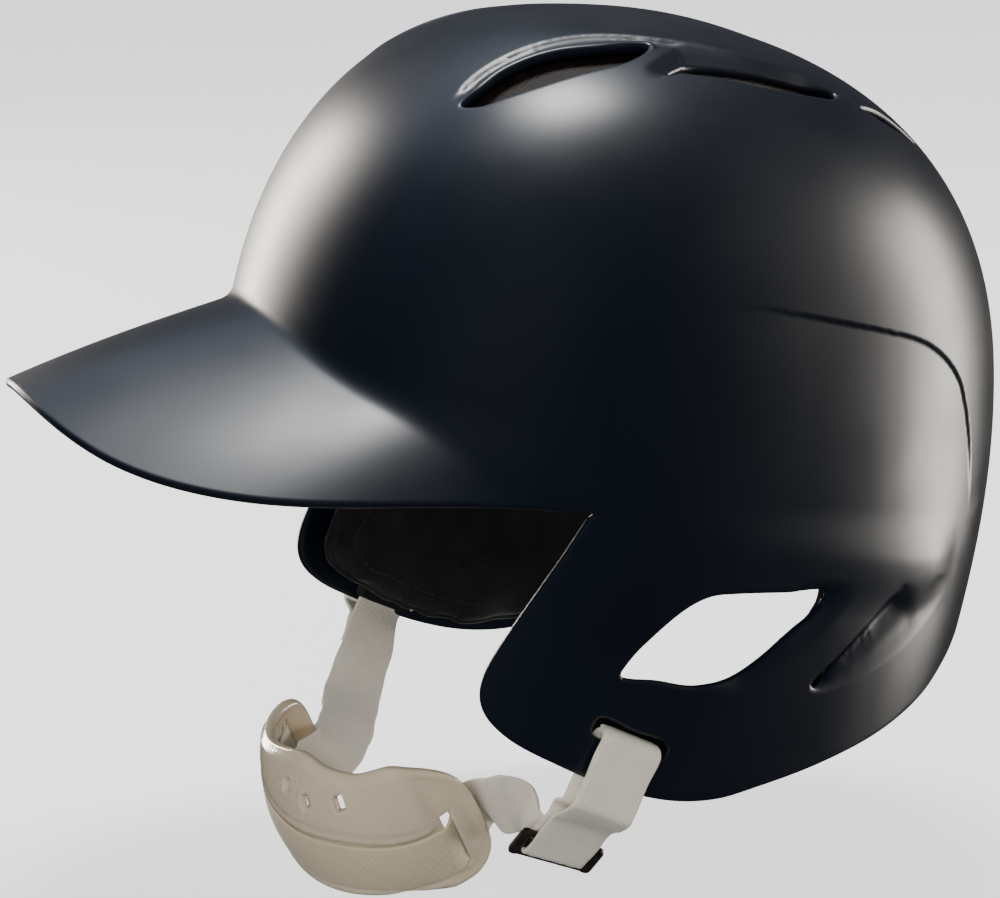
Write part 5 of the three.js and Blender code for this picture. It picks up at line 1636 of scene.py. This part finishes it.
PAD_OUT = [[2, -126], [-6, -128.5], [-13.5, -135], [-25.5, -151], [-33.6, -164.5], [-33.4, -171], [-27, -177.5], [-13.5, -185.2], [-1, -191.5], [10.6, -196.2],
           [22.4, -199.4], [35, -200], [48, -198.4], [66, -195.6], [84, -190], [88, -178], [84, -160], [80, -140], [70, -128], [40, -123.5]]
_pc = np.array(PAD_OUT, float)
_pm = _pc.mean(0)
_pc = _pc + (_pm - _pc) / np.linalg.norm(_pm - _pc, axis=1, keepdims=True) * 1.3
jaw_line = np.array(az_of(spline_through(np.column_stack([_pc, np.zeros(len(_pc))]), 2.0)[:, :2], 9.0))
ear_line = np.array(az_of([tuple(q) for q in hole_loops(EAR, (5.4,), 2.0)[0][0][:, 1:]], 9.0))
slit_line = np.array(az_of([tuple(q) for q in hole_loops(SLIT, (3.6,), 2.0)[0][0][:, 1:]], 9.0))


def strap_pocket(a, z, thick):
    inside = smooth((a - 68) / 4) * smooth((98 - a) / 4) * smooth((-174 - z) / 5)
    return thick - inside * (thick - 7.2)


def over_strap(a, z):
    inside = smooth((a - 66) / 6) * smooth((100 - a) / 6) * smooth((-172 - z) / 7)
    return inside * 4.6


jaw_l = pad_piece("jaw_pad_left_leather", ["jaw_pad_left"], jaw_line, 8.4, holes=(ear_line, slit_line), pocket=strap_pocket, deeper=over_strap, pressure=2.5)
right_line = jaw_line - np.stack([0 * jaw_line[:, 0], 2.4 * smooth((-176 - jaw_line[:, 1]) / 9)], -1)
jaw_r = pad_piece("jaw_pad_tmp", ["jaw_pad_right"], right_line, 8.9, holes=(), pocket=strap_pocket, deeper=over_strap, pressure=2.5)
for ob in jaw_r:
    v = coords_of(ob.data)
    v[:, 0] *= -1
    ob.data.vertices.foreach_set("co", v.reshape(-1))
    ob.data.flip_normals()
    ob.data.update()
    ob.name = ob.name.replace("jaw_pad_tmp", "jaw_pad_right_leather")

# crown pad: round, domed under the crown, nearly flat below
cr = np.linspace(0, 2 * math.pi, 60, endpoint=False)
cxy2, ctr2 = flat_mesh(np.stack([31.6 * np.sin(cr), YC_TOP - 31.6 * np.cos(cr)], -1), [], 3.4)
a2, s2 = nearest_on(np.column_stack([cxy2, np.zeros(len(cxy2))]), np.degrees(np.arctan2(cxy2[:, 0], -(cxy2[:, 1] - YC_TOP))), np.full(len(cxy2), 0.96), xy_only=True)
top_z = surf(a2, s2)[:, 2] - 5.9
ed2 = 31.6 - np.hypot(cxy2[:, 0], cxy2[:, 1] - YC_TOP)
low_z = 0.9 + 2.6 * (1 - smooth(ed2 / 9))
mid2 = np.column_stack([cxy2, (top_z + low_z) / 2])
fn = np.cross(mid2[ctr2[:, 1]] - mid2[ctr2[:, 0]], mid2[ctr2[:, 2]] - mid2[ctr2[:, 0]])
if fn[:, 2].sum() < 0:
    ctr2 = ctr2[:, ::-1]
crown = solid_sheet("crown_pad_leather", mid2, ctr2, np.tile(v3(0, 0, 1), (len(mid2), 1)), (top_z - low_z) / 2, (top_z - low_z) / 2, 1.2, M_PAD, ks=5)
swell(crown, lambda p: np.tile(v3(0, 0, 1), (len(p), 1)), 3.0, out_cap=0.6, in_cap=0.9)
ring_ = np.stack([32.6 * np.sin(cr), YC_TOP - 32.6 * np.cos(cr), np.full(60, 6.5)], -1)
pr, _ = drop_on(crown, ring_ + 0.0)
pr, _ = drop_on(crown, even_loop(pr, 1.8), 0.3)
tv, tf = tube(pr, 0.85)
crown_pipe = make_mesh("crown_pad_piping", np.array(tv), tf, M_PAD)
cs, cf_ = drop_on(crown, np.stack([25 * np.sin(cr), YC_TOP - 25 * np.cos(cr), np.full(60, -6.0)], -1), 0.02)
tv, tf = thread_run(cs, cf_, unit(np.roll(cs, -1, 0) - np.roll(cs, 1, 0)), 2.0, radius=0.24, lift=0)
crown_st = make_mesh("crown_pad_stitches", np.array(tv), tf, M_BTHREAD)
for x in (crown, crown_pipe, crown_st):
    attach(x, "helmet")
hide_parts("crown_pad")


# ------------------------------------------------------------------ woven screens under the crown vents
def vent_cloth(tag, az, grow_):
    p = spline_through(on_surface(az), 0.8)
    xy = p[:, :2]
    t = unit(np.roll(xy, -1, 0) - np.roll(xy, 1, 0))
    n = np.stack([t[:, 1], -t[:, 0]], -1)
    if ((xy - xy.mean(0)) * n).sum() < 0:
        n = -n
    g = resample(xy + n * grow_, 0.8)
    for _ in range(10):
        g = g * 0.5 + (np.roll(g, 1, 0) + np.roll(g, -1, 0)) * 0.25
    q, tr = flat_mesh(resample(g, 0.7), [], 0.46)
    a, s = nearest_on(np.column_stack([q, np.zeros(len(q))]), np.degrees(np.arctan2(q[:, 0], -(q[:, 1] - 22))), np.full(len(q), 0.85), xy_only=True)
    base_, nn_ = surf(a, s), surf_normal(a, s)
    c, s_ = math.cos(0.55), math.sin(0.55)
    u, v = (q[:, 0] * c + q[:, 1] * s_) / 1.7, (-q[:, 0] * s_ + q[:, 1] * c) / 1.7
    A, B, chk = (np.cos(2 * np.pi * u) + 1) / 2, (np.cos(2 * np.pi * v) + 1) / 2, np.cos(np.pi * u) * np.cos(np.pi * v)
    weave = 0.30 * (A * (0.6 + 0.4 * chk) + B * (0.6 - 0.4 * chk))
    mid_ = base_ - nn_ * 5.6
    fn_ = np.cross(mid_[tr[:, 1]] - mid_[tr[:, 0]], mid_[tr[:, 2]] - mid_[tr[:, 0]])
    if (fn_ * nn_[tr[:, 0]]).sum() < 0:
        tr = tr[:, ::-1]
    ob = solid_sheet(f"vent_screen_left_{tag}_cloth", mid_, tr, nn_, weave + 0.05, 0.2, 0.2, M_MESH, ks=3)
    for side_, o in (("left", ob), ("right", None)):
        if o is None:
            me = ob.data.copy()
            w_ = coords_of(me)
            w_[:, 0] *= -1
            me.vertices.foreach_set("co", w_.reshape(-1))
            me.flip_normals()
            me.update()
            o = bpy.data.objects.new(f"vent_screen_right_{tag}_cloth", me)
            bpy.context.scene.collection.objects.link(o)
        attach(o, "helmet")
        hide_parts(f"vent_screen_{side_}_{tag}")


for _t, _az in (("front", VENT1), ("middle", VENT2), ("rear", VENT3)):
    vent_cloth(_t, _az, 3.6)

for _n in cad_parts:
    if "pad_fastener" in _n:
        dress(_n, M_HOOK)


# ------------------------------------------------------------------ floor, light, camera
def floor():
    n, r = 96, 14.0
    v, f = [(0, 0, 0)], []
    for k, rr in enumerate((0.4, 1.2, 3.0, 7.0, r)):
        for i in range(n):
            t = 2 * math.pi * i / n
            v.append((rr * math.cos(t), rr * math.sin(t), 0))
    for i in range(n):
        f.append((0, 1 + i, 1 + (i + 1) % n))
    for k in range(4):
        for i in range(n):
            a, b = 1 + k * n + i, 1 + k * n + (i + 1) % n
            f.append((a, a + n, b + n, b))
    ob = make_mesh("studio_floor", np.array(v) / MM, f, floor_material())
    ob.location = (0, 0.02, CAD_BOX[0][2] - 0.0015)
    ob.visible_glossy = False
    ob.visible_diffuse = False
    return ob


floor()


def area(name, direction, dist, size, power, colour=(1, 1, 1), target=(0, 0.02, -0.1), shape="RECTANGLE"):
    ld = bpy.data.lights.new(name, "AREA")
    ld.shape = shape
    ld.size, ld.size_y = size
    ld.energy = power
    ld.color = colour
    ob = bpy.data.objects.new(name, ld)
    bpy.context.scene.collection.objects.link(ob)
    t, d = Vector(target), Vector(direction).normalized()
    ob.location = t + d * dist
    ob.rotation_mode = "QUATERNION"
    ob.rotation_quaternion = d.to_track_quat("Z", "Y")
    return ob


area("top_soft", (-0.12, -0.02, 0.97), 1.5, (0.50, 0.50), 25, (1.0, 0.99, 0.97))
area("top_blue", (-0.40, -0.12, 0.90), 1.9, (2.2, 2.2), 8, (0.55, 0.72, 1.0))
area("front_strip", (-0.93, -0.36, 0.10), 1.5, (0.30, 0.9), 22, (1.0, 0.93, 0.84))
area("rear_strip", (0.05, 0.99, -0.02), 1.6, (0.62, 1.1), 32, (1.0, 0.94, 0.86))
for _n, _d, _p in (("camera_fill", (0.85, -0.45, 0.25), 34), ("low_fill", (0.60, -0.75, -0.08), 20)):
    area(_n, _d, 2.2, (1.4, 1.4), _p, (1.0, 0.985, 0.96)).visible_glossy = False

world = bpy.data.worlds.new("studio") if bpy.context.scene.world is None else bpy.context.scene.world
bpy.context.scene.world = world
world.use_nodes = True
bg = world.node_tree.nodes["Background"]
bg.inputs["Color"].default_value = (0.90, 0.93, 1.0, 1)
bg.inputs["Strength"].default_value = 0.05

CAM_AZ, CAM_EL, CAM_DIST, CAM_TARGET = 71.0, 13.2, 1.5, (0, 0, -0.11583)
a, e = CAM_AZ * D2R, CAM_EL * D2R
back = Vector((math.sin(a) * math.cos(e), -math.cos(a) * math.cos(e), math.sin(e)))
right = Vector((math.cos(a), math.sin(a), 0))
up = back.cross(right)
cam_data = bpy.data.cameras.new("camera")
cam_data.sensor_fit = "HORIZONTAL"
cam_data.sensor_width = 36
cam_data.lens = 168.48
cam_data.clip_start, cam_data.clip_end = 0.05, 60
cam = bpy.data.objects.new("camera", cam_data)
bpy.context.scene.collection.objects.link(cam)
cam.rotation_mode = "QUATERNION"
cam.rotation_quaternion = Matrix((right, up, back)).transposed().to_quaternion()
cam.location = Vector(CAM_TARGET) + back * CAM_DIST
bpy.context.scene.camera = cam
